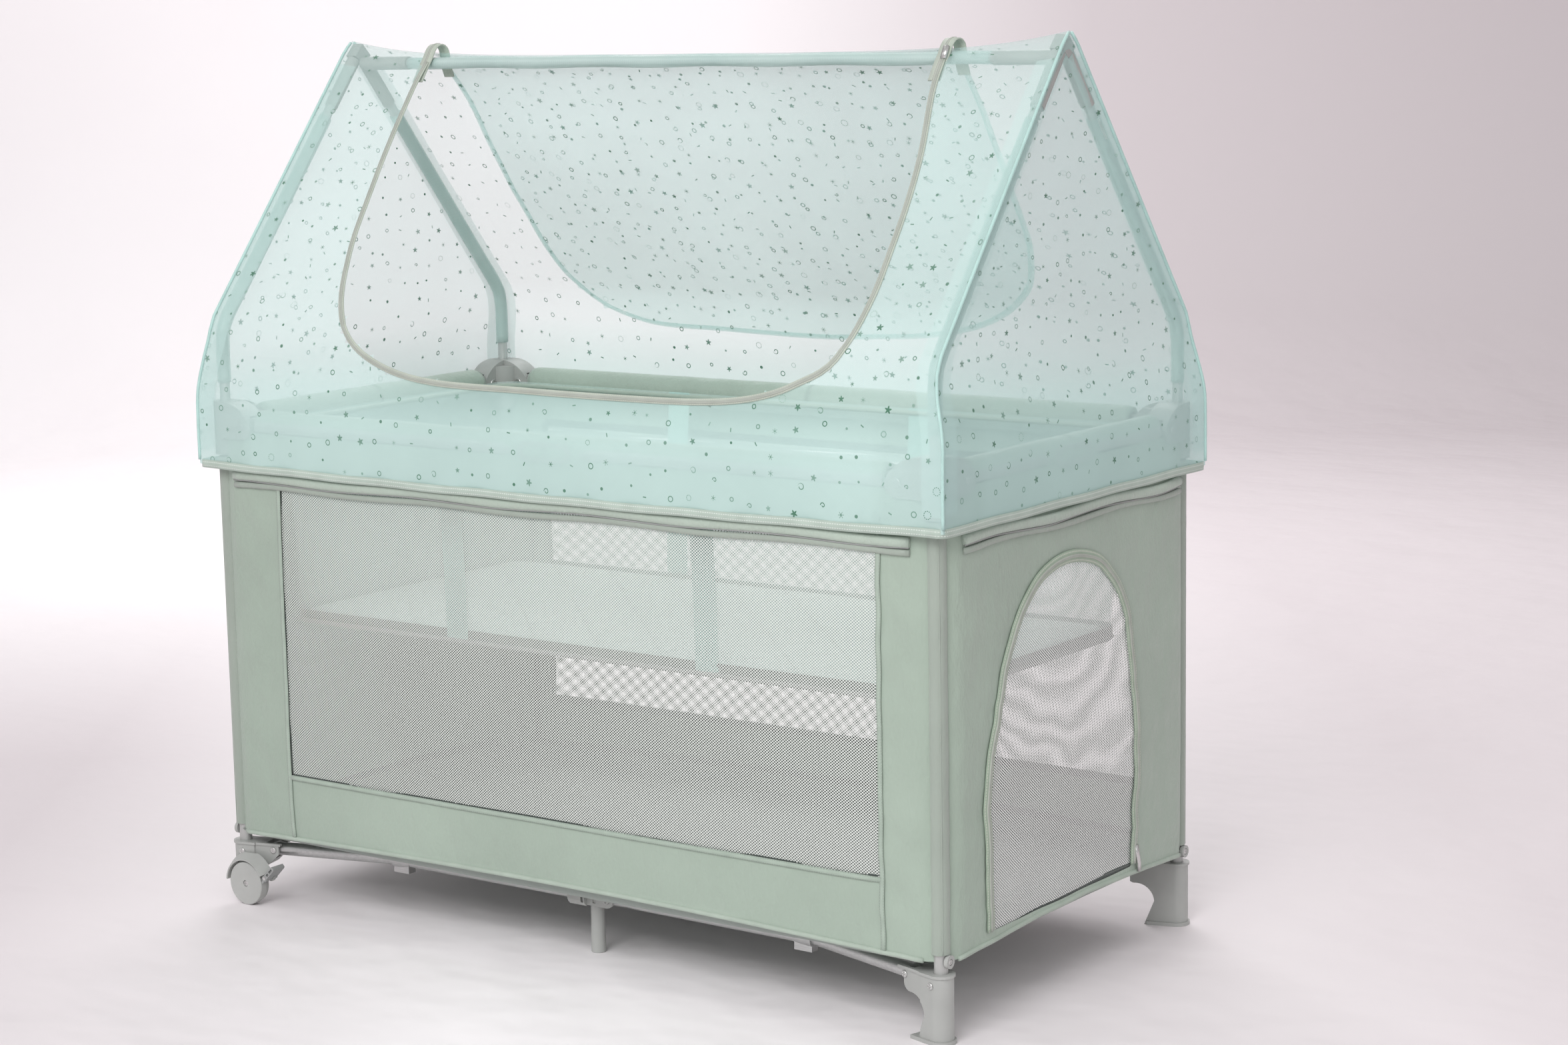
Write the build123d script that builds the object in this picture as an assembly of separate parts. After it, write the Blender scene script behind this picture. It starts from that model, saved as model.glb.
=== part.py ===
from build123d import *
import os
from math import atan2, cos, degrees, hypot, radians, sin

# A folding playpen with a bassinet insert and a house-shaped net canopy.
# Millimetres. +X runs along the long side, wheels at -X; -Y is the front; +Z is up.
# The origin is on the floor under the middle.

os.makedirs("parts", exist_ok=True)

# Driving dimensions
POST_SPAN_X = 1200.0       # post axis to post axis along the long side
POST_SPAN_Y = 602.0        # and along the short side
POST_RADIUS = 9.0
POST_BORE = 7.8
POST_BOTTOM, POST_TOP = 30.0, 716.0

RAIL_Z = 698.0             # axis height of the four top rails
RAIL_RADIUS = 14.0
RAIL_BORE = 12.6
RAIL_PAD_RADIUS = 23.0     # outside of the padded cloth round a rail
RAIL_PIVOT = 45.0          # post axis to rail hinge
KNUCKLE_PIVOT = 32.0       # middle of a rail to its centre hinges
LUG_RADIUS = 12.0
LUG_HALF_WIDTH = 7.7
TUBE_START = 24.0          # hinge to the start of the round rail tube

BASE_Z = 79.0              # axis height of the base tubes
BASE_RADIUS = 9.5
BASE_BORE = 8.3
BASE_PIVOT_X, BASE_PIVOT_Y = 50.0, 14.0   # post axis to base tube hinge
HUB_PIVOT = 27.0           # hub centre to its hinges
HUB_Y = 232.0              # hub centre from the middle of the playpen
BEND_RUN = 182.0           # base tube hinge to its bend, along X
HOUSING_TOP = 89.0
HOUSING_HALF = 16.0        # half width of a corner housing

WHEEL_RADIUS = 31.5
WHEEL_X = 22.0             # wheel centre from the post axis
WHEEL_FRONT, WHEEL_BACK = -27.0, -14.7    # wheel faces, from the post axis
LEVER_X, LEVER_Z = 60.0, 44.0             # brake lever hinge

KINK_Z = 835.0             # where a canopy pole bends inwards
PEAK_AXIS_Z = 1216.0       # where the axes of two slanted poles meet
RIDGE_Z = 1198.0           # axis of the ridge pole, hung a little lower
POLE_RADIUS = 7.2
PEAK_REACH = 100.0         # length of each arm of a peak connector

FLOOR_Z = 94.0             # underside of the playpen floor
FLOOR_THICK = 3.0
HEM_Z = 104.0              # lower edge of the cloth walls
BASSINET_Z = 410.0         # underside of the bassinet
CANOPY_HEM_Z = 642.0       # lower edge of the canopy
CLOTH = 1.2                # thickness of a cloth panel
GAP = 0.2                  # room between neighbouring pieces

HALF_X, HALF_Y = POST_SPAN_X / 2, POST_SPAN_Y / 2
ARM_ANGLE = degrees(atan2(BASE_PIVOT_Y, BASE_PIVOT_X))
PIVOT_U = hypot(BASE_PIVOT_X, BASE_PIVOT_Y)
ROOF_ANGLE = degrees(atan2(PEAK_AXIS_Z - KINK_Z, HALF_Y))
PIN_RADIUS = 3.9
PIN_HOLE = 4.0


def save(shape, node):
    """Write one node, as a group when it has several solids."""
    solids = shape.solids()
    export_step(solids[0] if len(solids) == 1 else Compound(children=solids), f"parts/{node}.step")


def joined(shapes):
    """Separate solids kept apart in one group."""
    return Compound(children=[solid for shape in shapes for solid in shape.solids()])


def at_corner(shape, side_x, side_y):
    """Place a shape drawn about a post axis, +x and +y pointing inwards, at one corner."""
    if side_x > 0:
        shape = mirror(shape, about=Plane.YZ)
    if side_y > 0:
        shape = mirror(shape, about=Plane.XZ)
    return Pos(side_x * HALF_X, side_y * HALF_Y, 0) * shape


def slab(x0, x1, y0, y1, z0, z1):
    """A box from its limits."""
    return Pos((x0 + x1) / 2, (y0 + y1) / 2, (z0 + z1) / 2) * Box(x1 - x0, y1 - y0, z1 - z0)


def rod_x(radius, x0, x1, y=0.0, z=0.0):
    return Pos((x0 + x1) / 2, y, z) * Rot(0, 90, 0) * Cylinder(radius, x1 - x0)


def rod_y(radius, y0, y1, x=0.0, z=0.0):
    return Pos(x, (y0 + y1) / 2, z) * Rot(90, 0, 0) * Cylinder(radius, y1 - y0)


def rod_z(radius, z0, z1, x=0.0, y=0.0):
    return Pos(x, y, (z0 + z1) / 2) * Cylinder(radius, z1 - z0)


def rod_between(radius, start, end):
    """A straight round bar between two points."""
    start, end = Vector(*start), Vector(*end)
    return Plane(origin=start, z_dir=end - start) * Pos(0, 0, (end - start).length / 2) * Cylinder(
        radius, (end - start).length
    )


def swap_xy(shape):
    """Turn a shape drawn along +x into the matching one along +y."""
    return mirror(Rot(0, 0, -90) * shape, about=Plane.XZ)


# ---------------------------------------------------------------- corner posts and top brackets

def post():
    tube = rod_z(POST_RADIUS, POST_BOTTOM, POST_TOP) - rod_z(POST_BORE, POST_BOTTOM - 1, POST_TOP + 1)
    return tube


BRACKET_TOP = 731.0
BRACKET_BOTTOM = 655.0
BRACKET_RADIUS = 17.0
CHEEK_RADIUS = 19.0        # round end of each bracket arm
SLOT_HALF = 8.2            # half width of the slot that takes a rail lug


def bracket_arm():
    """One arm along +x: a domed cheek block, slotted from below for the rail lug."""
    end_x = RAIL_PIVOT + CHEEK_RADIUS
    outline = [
        Line((0, BRACKET_TOP), (12, BRACKET_TOP)),
        ThreePointArc((12, BRACKET_TOP), (47, BRACKET_TOP - 12), (end_x, RAIL_Z)),
        ThreePointArc(
            (end_x, RAIL_Z),
            (RAIL_PIVOT + CHEEK_RADIUS * 0.7071, RAIL_Z - CHEEK_RADIUS * 0.7071),
            (RAIL_PIVOT, RAIL_Z - CHEEK_RADIUS),
        ),
        Line((RAIL_PIVOT, RAIL_Z - CHEEK_RADIUS), (0, RAIL_Z - CHEEK_RADIUS)),
        Line((0, RAIL_Z - CHEEK_RADIUS), (0, BRACKET_TOP)),
    ]
    side = Plane.XZ * make_face(outline)
    return extrude(side, amount=BRACKET_RADIUS, both=True)


def corner_bracket():
    body = rod_z(BRACKET_RADIUS, BRACKET_BOTTOM, BRACKET_TOP)
    body += bracket_arm()
    body += swap_xy(bracket_arm())
    body += rod_z(25, RAIL_Z - 6, BRACKET_TOP - 8, x=13, y=13)
    slot = slab(RAIL_PIVOT - 17, RAIL_PIVOT + 30, -SLOT_HALF, SLOT_HALF, BRACKET_BOTTOM - 1, RAIL_Z + 13.5)
    body -= slot
    body -= swap_xy(slot)
    body -= rod_y(PIN_HOLE, -30, 40, x=RAIL_PIVOT, z=RAIL_Z)
    body -= rod_x(PIN_HOLE, -30, 40, y=RAIL_PIVOT, z=RAIL_Z)
    body -= rod_z(POST_RADIUS + GAP, BRACKET_BOTTOM - 1, POST_TOP + GAP)
    body -= rod_z(POLE_RADIUS + 0.4, POST_TOP, BRACKET_TOP + 1)
    return body


# ---------------------------------------------------------------- feet and wheel housings

ARM_END = 60.0             # end of a housing arm, along the arm
ARM_OUTER, ARM_INNER = -14.0, 16.0
FOOT_SKEW = 23.0           # the hollow in a foot is cut at this angle to the arm


def housing_plan(grow=0.0):
    """Plan outline of a corner housing in its own arm frame: +x along the arm, -y outwards."""
    half = HOUSING_HALF + grow
    body = Circle(half) + Pos(11, 0) * Rectangle(22 + 2 * grow, 2 * half)
    arm = Pos(
        (22 + ARM_END + grow) / 2, (ARM_OUTER + ARM_INNER) / 2
    ) * Rectangle(ARM_END + grow - 22 + 4, ARM_INNER - ARM_OUTER + 2 * grow)
    return body + arm


def housing_block(side_outline, skew):
    """A side outline pushed through the plan outline, with the rolled rim on top."""
    face = Plane.XZ * make_face(side_outline)
    lean = Vector(sin(radians(skew)), cos(radians(skew)), 0)
    through = extrude(face, amount=30, dir=lean) + extrude(face, amount=30, dir=lean * -1)
    plan = extrude(housing_plan(), amount=HOUSING_TOP)
    rim = Pos(0, 0, HOUSING_TOP - 3.5) * extrude(housing_plan(1.8), amount=3.5)
    return through & plan, rim


def housing_holes():
    """The post socket, the slot for the base tube and the screw holes, in the arm frame."""
    slot = slab(PIVOT_U - 13, ARM_END + 12, -10.4, 13.3, BASE_Z - 12.5, HOUSING_TOP + 5)
    socket = rod_z(POST_RADIUS + GAP, POST_BOTTOM - GAP, HOUSING_TOP + 5)
    screw = rod_y(3.1, -HOUSING_HALF - 5, 0, x=2, z=BASE_Z - 4)
    return slot + socket + screw


def pin_channel():
    """Hole along Y for the base tube pin, about the post axis."""
    return rod_y(PIN_RADIUS + 0.05, BASE_PIVOT_Y - 12.5, BASE_PIVOT_Y + 12.5, x=BASE_PIVOT_X, z=BASE_Z)


def post_button():
    """Round plastic button on the outer side of a post, above the housing."""
    button = rod_x(8.5, -14.5, -9.4, z=105)
    return button - rod_z(POST_RADIUS + GAP, 90, 120) - rod_x(4.2, -20, -12.6, z=105)


def foot():
    outline = [
        Line((-20, 0), (35, 0)),
        Line((35, 0), (21, 34)),
        ThreePointArc((21, 34), (29, 51), (49, 58)),
        ThreePointArc((49, 58), (56.5, 61), (ARM_END, 68)),
        Line((ARM_END, 68), (ARM_END, HOUSING_TOP)),
        Line((ARM_END, HOUSING_TOP), (-20, HOUSING_TOP)),
        Line((-20, HOUSING_TOP), (-20, 0)),
    ]
    leg, rim = housing_block(outline, FOOT_SKEW)
    base = Circle(HOUSING_HALF + 2.5) + Pos(18, 0) * Rectangle(40, 2 * HOUSING_HALF + 5)
    leg += extrude(base, amount=5)
    leg += rim
    leg -= housing_holes()
    leg = Rot(0, 0, ARM_ANGLE) * leg - pin_channel()
    return joined([leg, post_button()])


def wheel_housing():
    outline = [
        Line((-20, 57), (43, 57)),
        Line((43, 57), (ARM_END, 73)),
        Line((ARM_END, 73), (ARM_END, HOUSING_TOP)),
        Line((ARM_END, HOUSING_TOP), (-20, HOUSING_TOP)),
        Line((-20, HOUSING_TOP), (-20, 57)),
    ]
    body, rim = housing_block(outline, 0)
    body += rim
    body -= housing_holes()
    body = Rot(0, 0, ARM_ANGLE) * body - pin_channel()
    body -= rod_y(WHEEL_RADIUS + 0.8, -40, WHEEL_BACK + 0.3, x=WHEEL_X, z=WHEEL_RADIUS)
    # Web that carries the wheel axle and the brake lever
    web = rod_y(29.5, -13.4, -9.4, x=WHEEL_X, z=WHEEL_RADIUS)
    web += rod_y(6.5, -13.4, -9.4, x=LEVER_X, z=LEVER_Z)
    web += slab(WHEEL_X, LEVER_X, -13.4, -9.4, LEVER_Z - 5, LEVER_Z + 5)
    web += slab(-4, 44, -13.4, -9.4, 38, 60)
    body += web
    body += rod_y(7, -14.4, -6, x=WHEEL_X, z=WHEEL_RADIUS)
    body -= rod_z(POST_RADIUS + GAP, POST_BOTTOM - GAP, HOUSING_TOP + 5)
    body -= rod_y(3.1, -30, -5, x=WHEEL_X, z=WHEEL_RADIUS)
    body -= rod_y(2.6, -30, -5, x=LEVER_X, z=LEVER_Z)
    return joined([body, post_button()])


def wheel_hood():
    """Mudguard over the wheel: flares from the front lip back to the housing."""
    front, back = WHEEL_FRONT - 2.5, -13.6
    centre = Plane(origin=(WHEEL_X, back, WHEEL_RADIUS), z_dir=(0, -1, 0))
    cone = centre * Pos(0, 0, (back - front) / 2) * Cone(46, 36.5, back - front)
    cone -= rod_y(34.3, front - 1, back + 1, x=WHEEL_X, z=WHEEL_RADIUS)
    wedge = Plane.XZ * make_face(
        Polyline((WHEEL_X, 28), (100, 74), (100, 75), (-60, 75), (-60, 42), (WHEEL_X, 28), close=True)
    )
    hood = cone & extrude(wedge, amount=60, both=True)
    hood -= Rot(0, 0, ARM_ANGLE) * slab(-30, 70, -HOUSING_HALF - 2.2, 20, 56.5, 100)
    return hood


# ---------------------------------------------------------------- screws, wheels and brake levers

def screw_head(radius, height):
    """A low domed head, flat face down on z = 0, with a cross slot."""
    head = Cylinder(radius, height, align=(Align.CENTER, Align.CENTER, Align.MIN))
    head = fillet(head.edges().group_by(Axis.Z)[-1], height * 0.6)
    return head - slab(-radius * 0.7, radius * 0.7, -0.6, 0.6, height - 0.8, height + 1) - slab(
        -0.6, 0.6, -radius * 0.7, radius * 0.7, height - 0.8, height + 1
    )


def facing(shape, point, direction):
    """Stand a shape on a point with its +z along the direction."""
    return Plane(origin=point, z_dir=direction) * shape


def corner_screws(has_wheel):
    """All the pins and screws that stay with one corner."""
    face = BRACKET_RADIUS + 0.05
    pieces = []
    for across in (False, True):
        pin = rod_y(PIN_RADIUS, -BRACKET_RADIUS, BRACKET_RADIUS, x=RAIL_PIVOT, z=RAIL_Z)
        pin += facing(screw_head(6, 2.4), (RAIL_PIVOT, -face, RAIL_Z), (0, -1, 0))
        pin += facing(screw_head(6, 2.4), (RAIL_PIVOT, face, RAIL_Z), (0, 1, 0))
        pieces.append(swap_xy(pin) if across else pin)
    pieces.append(rod_y(PIN_RADIUS, BASE_PIVOT_Y - 12.4, BASE_PIVOT_Y + 12.4, x=BASE_PIVOT_X, z=BASE_Z))
    in_arm = Rot(0, 0, ARM_ANGLE)
    pieces.append(in_arm * facing(screw_head(4.6, 2), (PIVOT_U, ARM_OUTER - 0.05, BASE_Z), (0, -1, 0)))
    body_screw = rod_y(3, -HOUSING_HALF - 0.1, -POST_RADIUS - 0.4, x=2, z=BASE_Z - 4)
    body_screw += facing(screw_head(4.6, 2), (2, -HOUSING_HALF - 0.05, BASE_Z - 4), (0, -1, 0))
    pieces.append(in_arm * body_screw)
    pieces.append(facing(screw_head(3.8, 1.8), (-12.7, 0, 105), (-1, 0, 0)))
    if has_wheel:
        axle = rod_y(3, -25.5, -7, x=WHEEL_X, z=WHEEL_RADIUS)
        axle += facing(screw_head(4.4, 2), (WHEEL_X, -24.4, WHEEL_RADIUS), (0, -1, 0))
        pin = rod_y(2.5, -27, -9.6, x=LEVER_X, z=LEVER_Z)
        pieces += [axle, pin]
    return joined(pieces)


def wheel():
    disc = rod_y(WHEEL_RADIUS, WHEEL_FRONT, WHEEL_BACK, x=WHEEL_X, z=WHEEL_RADIUS)
    disc = fillet(disc.edges(), 1.6)
    disc -= rod_y(3.1, -40, 0, x=WHEEL_X, z=WHEEL_RADIUS)
    disc -= rod_y(4.7, -40, -24.2, x=WHEEL_X, z=WHEEL_RADIUS)
    ring = rod_y(24, -16.2, -10, x=WHEEL_X, z=WHEEL_RADIUS) - rod_y(9, -20, 0, x=WHEEL_X, z=WHEEL_RADIUS)
    return disc - ring


def brake_lever():
    """A pedal plate rising away from the wheel, with a nose that can press on the tread."""
    front, back = -26.5, -4.0
    pedal = Pos(LEVER_X, 0, LEVER_Z) * Rot(0, -45, 0) * slab(0, 25, front, back, -3.5, 3.5)
    pedal = fillet(pedal.edges().filter_by(Axis.Y), 2.2)
    pedal += rod_y(4.4, front, back, x=LEVER_X, z=LEVER_Z)
    nose_x, nose_z = LEVER_X - 3.7, LEVER_Z - 5.9
    pedal += rod_y(1.7, front, WHEEL_BACK - 1, x=nose_x, z=nose_z)
    arm = Plane(origin=(LEVER_X, 0, LEVER_Z), x_dir=(-3.7, 0, -5.9), z_dir=(0, -1, 0))
    pedal += arm * Pos(3.5, 0, (WHEEL_BACK - 1 + front) / -2) * Box(7, 3.4, WHEEL_BACK - 1 - front)
    ear_room = rod_y(8, -13.9, -8.9, x=LEVER_X, z=LEVER_Z)
    pedal -= ear_room
    pedal -= rod_y(2.6, front - 1, back + 1, x=LEVER_X, z=LEVER_Z)
    window = Pos(LEVER_X, 0, LEVER_Z) * Rot(0, -45, 0) * (
        slab(6, 11, front - 1, front + 3, -1.8, 1.8) + slab(13.5, 21.5, front - 1, front + 3, -1.8, 1.8)
    )
    return pedal - window


# ---------------------------------------------------------------- top rails

def rail_half(length):
    """Half a folding rail along +x from its bracket hinge at x = 0 to its knuckle hinge."""
    tube = rod_x(RAIL_RADIUS, TUBE_START, length - TUBE_START)
    tube -= rod_x(RAIL_BORE, 0, length)
    for hinge, inner in ((0.0, 40.0), (length, length - 40.0)):
        lug = rod_y(LUG_RADIUS, -LUG_HALF_WIDTH, LUG_HALF_WIDTH, x=hinge)
        lug += slab(min(hinge, inner), max(hinge, inner), -LUG_HALF_WIDTH, LUG_HALF_WIDTH, -11.9, 11.9)
        tube += lug
    for hinge in (0.0, length):
        tube -= rod_y(PIN_HOLE, -20, 20, x=hinge)
    return tube


def knuckle():
    """Centre joint of a rail about its middle, along x; open above for the rising rails."""
    end = KNUCKLE_PIVOT
    block = slab(-end, end, -16, 16, -13, 13)
    block += rod_y(13, -16, 16, x=end) + rod_y(13, -16, 16, x=-end)
    for side in (-1, 1):
        block -= slab(*sorted((side * (end - 14), side * (end + 20))), -SLOT_HALF, SLOT_HALF, -20, 20)
    block -= rod_z(9.2, -20, -3.8)
    block += rod_y(PIN_RADIUS, -16, 16, x=end) + rod_y(PIN_RADIUS, -16, 16, x=-end)
    return block


def lock_button():
    """Push button under a knuckle."""
    button = rod_z(8.8, -19.5, -8.5)
    return fillet(button.edges().group_by(Axis.Z)[0], 2)


RAIL_HALF_X = HALF_X - RAIL_PIVOT - KNUCKLE_PIVOT
RAIL_HALF_Y = HALF_Y - RAIL_PIVOT - KNUCKLE_PIVOT


def along_x(shape, side_x, y):
    """Put a shape drawn from a bracket hinge inwards on the front or rear rail."""
    shape = mirror(shape, about=Plane.YZ) if side_x > 0 else shape
    return Pos(side_x * (HALF_X - RAIL_PIVOT), y, RAIL_Z) * shape


def along_y(shape, side_y, x):
    shape = swap_xy(shape)
    shape = mirror(shape, about=Plane.XZ) if side_y > 0 else shape
    return Pos(x, side_y * (HALF_Y - RAIL_PIVOT), RAIL_Z) * shape


# ---------------------------------------------------------------- base frame

def base_tube():
    """One base tube about its corner hinge: a slanted run, a bend, and a run along +x to the hub."""
    length = HALF_X - BASE_PIVOT_X - HUB_PIVOT
    bend = (BEND_RUN, BEND_RUN * BASE_PIVOT_Y / BASE_PIVOT_X)
    drop = HALF_Y - BASE_PIVOT_Y - HUB_Y
    route = FilletPolyline((0, 0, 0), (bend[0], bend[1], 0), (length, drop, 0), radius=60)
    start = Plane(origin=(0, 0, 0), z_dir=route % 0)
    tube = sweep(start * Circle(BASE_RADIUS), path=route)
    tube -= sweep(start * Circle(BASE_BORE), path=route)
    for x, y in ((0, 0), (length, drop)):
        tube += rod_y(BASE_RADIUS - 0.1, y - 7, y + 7, x=x)
        tube -= rod_y(PIN_HOLE, y - 20, y + 20, x=x)
    clip = Plane(origin=route @ 0.36, z_dir=route % 0.36)
    sleeve = clip * Pos(0, 0, 15) * Cylinder(12.4, 30)
    sleeve += Pos(*(route @ 0.39)) * slab(-14, 14, -7, 7, -18, 0)
    sleeve -= sweep(start * Circle(BASE_RADIUS + 0.1), path=route)
    return joined([tube, max(sleeve.solids(), key=lambda solid: solid.volume)])


def hub():
    """Middle hub of the base about its own centre, with the middle leg, -y outwards."""
    reach = HUB_PIVOT + 11
    body = slab(-HUB_PIVOT, HUB_PIVOT, -14.5, 14.5, -11, 11)
    body += rod_y(11, -14.5, 14.5, x=HUB_PIVOT) + rod_y(11, -14.5, 14.5, x=-HUB_PIVOT)
    body += slab(-reach + 5, reach - 5, -14.5, 14.5, 10, 13)
    for side in (-1, 1):
        body -= slab(*sorted((side * 13, side * (reach + 10))), -10.3, 10.3, -20, 10.2)
    body += rod_y(PIN_RADIUS, -14.5, 14.5, x=HUB_PIVOT) + rod_y(PIN_RADIUS, -14.5, 14.5, x=-HUB_PIVOT)
    body += facing(screw_head(5.5, 2.2), (HUB_PIVOT, -14.5, 0), (0, -1, 0))
    bulge = rod_x(15, -HUB_PIVOT - 9, -7, y=-6.5) & slab(-60, 0, -21, -14.4, -13, 13)
    bulge -= slab(-13, -9, -30, -16.5, -7, 7)
    window = slab(3, 8, -20, -13, -7, 7)
    body = body + bulge - window
    leg = Pos(0, 0, -(BASE_Z + 8) / 2) * Cone(10.2, 9.2, BASE_Z - 8)
    leg = fillet(leg.edges().group_by(Axis.Z)[0], 1.2)
    return body + leg


# ---------------------------------------------------------------- canopy frame and cover

def peak_direction(side_y):
    """Unit vector from a kink up to the ridge."""
    return Vector(0, -side_y * cos(radians(ROOF_ANGLE)), sin(radians(ROOF_ANGLE)))


def canopy_pole(side_x, side_y):
    """A corner pole: a plug in the post, a straight run and a slanted run up to the peak."""
    x, y = side_x * HALF_X, side_y * HALF_Y
    stop = Vector(x, 0, PEAK_AXIS_Z) - peak_direction(side_y) * (ARM_START + 1)
    route = FilletPolyline((x, y, POST_TOP - 34), (x, y, KINK_Z), tuple(stop), radius=45)
    start = Plane(origin=(x, y, POST_TOP - 34), z_dir=(0, 0, 1))
    return sweep(start * Circle(POLE_RADIUS), path=route)


ARM_START = 16.3           # a connector arm starts this far down its slope
ARM_RADIUS = 9.5


def peak_connector(side_x):
    """A cap with three sockets: one down each slope and one along the ridge."""
    outline = Polyline(
        (0, PEAK_AXIS_Z + 10.5), (16.2, PEAK_AXIS_Z - 6.6), (0, PEAK_AXIS_Z - 19.4),
        (-16.2, PEAK_AXIS_Z - 6.6), close=True,
    )
    cap = extrude(Plane.YZ * make_face(outline), amount=ARM_RADIUS - 0.1, both=True)
    cap = Pos(side_x * HALF_X, 0, 0) * cap
    ridge_start, ridge_end = side_x * (HALF_X - ARM_RADIUS - 0.1), side_x * (HALF_X - PEAK_REACH)
    ridge_arm = rod_x(ARM_RADIUS, *sorted((ridge_start, ridge_end)), z=RIDGE_Z)
    socket_end = side_x * (HALF_X - 16)
    ridge_arm -= rod_x(POLE_RADIUS + GAP, *sorted((socket_end, ridge_end - side_x * 5)), z=RIDGE_Z)
    arms = [cap, ridge_arm]
    peak = Vector(side_x * HALF_X, 0, PEAK_AXIS_Z)
    for side_y in (-1, 1):
        down = peak_direction(side_y) * -1
        arm = rod_between(ARM_RADIUS, peak + down * ARM_START, peak + down * PEAK_REACH)
        arms.append(arm - rod_between(POLE_RADIUS + GAP, peak + down * ARM_START, peak + down * (PEAK_REACH + 5)))
    return joined(arms)


def ridge_pole():
    end = HALF_X - 16.5
    return rod_x(POLE_RADIUS, -end, end, z=RIDGE_Z)


SKIRT_X, SKIRT_Y, SKIRT_TOP = 628.5, 329.5, 735.0   # outside of the canopy skirt
EAVE_X, EAVE_Y, EAVE_Z = 611.0, 312.0, 839.0        # outside of the roof's lower edge
PEAK_Z = 1234.0
OPEN_TOP_X, OPEN_LOW_X, OPEN_LOW_Z = 450.0, 475.0, 782.0   # zipped opening in the front


def frame_face(half_x, half_y, z, side):
    """Thin strip of the canopy outline at one height, on one side of the box."""
    if side in ("front", "rear"):
        sign = -1 if side == "front" else 1
        return Pos(0, sign * (half_y - CLOTH / 2), z) * Rectangle(2 * half_x, CLOTH)
    sign = -1 if side == "left" else 1
    return Pos(sign * (half_x - CLOTH / 2), 0, z) * Rectangle(CLOTH, 2 * half_y)


def roof_slope(sign, x0, x1):
    """A flat roof panel from the eave to the ridge, between two x values."""
    outline = Polyline(
        (sign * EAVE_Y, EAVE_Z), (sign * 0.2, PEAK_Z), (sign * 0.2, PEAK_Z - 1.8),
        (sign * (EAVE_Y - 1.4), EAVE_Z), close=True,
    )
    return Pos((x0 + x1) / 2, 0, 0) * extrude(Plane.YZ * make_face(outline), amount=(x1 - x0) / 2, both=True)


def canopy_cover():
    """Net cover as flat closed panels, open along the zipped front opening and below."""
    panels = []
    inner = {"left": EAVE_Y - 2, "right": EAVE_Y - 2}
    for side in ("rear", "left", "right"):
        low = (SKIRT_X, SKIRT_Y) if side == "rear" else (SKIRT_X, SKIRT_Y - 2)
        mid = (EAVE_X, EAVE_Y) if side == "rear" else (EAVE_X, inner[side])
        skirt = extrude(frame_face(*low, CANOPY_HEM_Z, side), amount=SKIRT_TOP - GAP - CANOPY_HEM_Z)
        taper = loft([frame_face(*low, SKIRT_TOP, side), frame_face(*mid, EAVE_Z - GAP, side)])
        panels += [skirt, taper]
    low_front = extrude(
        frame_face(SKIRT_X, SKIRT_Y, CANOPY_HEM_Z, "front"), amount=SKIRT_TOP - GAP - CANOPY_HEM_Z
    )
    taper_front = loft(
        [frame_face(SKIRT_X, SKIRT_Y, SKIRT_TOP, "front"), frame_face(EAVE_X, EAVE_Y, EAVE_Z - GAP, "front")]
    )
    mouth = slab(-OPEN_LOW_X, OPEN_LOW_X, -400, -250, OPEN_LOW_Z, EAVE_Z + 5)
    taper_front -= mouth
    panels += [low_front, taper_front]
    panels.append(roof_slope(1, -EAVE_X, EAVE_X))
    for sign in (-1, 1):
        panels.append(roof_slope(-1, *sorted((sign * OPEN_LOW_X, sign * EAVE_X))))
        gable = Polyline((-EAVE_Y + 3, EAVE_Z), (EAVE_Y - 3, EAVE_Z), (0, PEAK_Z - 5), close=True)
        gable = extrude(Plane.YZ * make_face(gable), amount=CLOTH)
        x = EAVE_X + GAP if sign > 0 else -EAVE_X - GAP - CLOTH
        panels.append(Pos(x, 0, 0) * gable)
    return joined(panels)


def canopy_flap():
    """The unzipped front panel, thrown back over the ridge and lying on the rear slope."""
    drop = (EAVE_Z - PEAK_Z) / EAVE_Y
    outline = Polyline(
        (2.0, PEAK_Z + 2.5), (EAVE_Y - 15, PEAK_Z + drop * (EAVE_Y - 17) + 2.5),
        (EAVE_Y - 15, PEAK_Z + drop * (EAVE_Y - 17) + 4.5), (2.0, PEAK_Z + 4.5), close=True,
    )
    return extrude(Plane.YZ * make_face(outline), amount=OPEN_TOP_X - 20, both=True)


# ---------------------------------------------------------------- cloth walls, floor, bassinet, mattress

def rail_pad(length):
    """Padded cloth round one rail half, about the bracket hinge, along +x."""
    start, end = TUBE_START - 3, length - TUBE_START + 3
    return rod_x(RAIL_PAD_RADIUS, start, end) - rod_x(RAIL_RADIUS + 1, start - 1, end + 1) - slab(
        -20, 45, -9, 9, -16, 16
    ) - slab(length - 45, length + 20, -9, 9, -16, 16)


def long_wall(sign):
    panel = slab(-HALF_X + 18.5, HALF_X - 18.5, -HALF_Y - 12.4, -HALF_Y - 11.2, HEM_Z, RAIL_Z - 20.5)
    pads = [along_x(rail_pad(RAIL_HALF_X), side, -HALF_Y) for side in (-1, 1)]
    wall = joined([panel] + pads)
    return wall if sign < 0 else mirror(wall, about=Plane.XZ)


def short_wall(sign):
    panel = slab(-HALF_X - 12.4, -HALF_X - 11.2, -HALF_Y + 18.5, HALF_Y - 18.5, HEM_Z, RAIL_Z - 20.5)
    pads = [along_y(rail_pad(RAIL_HALF_Y), side, -HALF_X) for side in (-1, 1)]
    wall = joined([panel] + pads)
    return wall if sign < 0 else mirror(wall, about=Plane.YZ)


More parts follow.
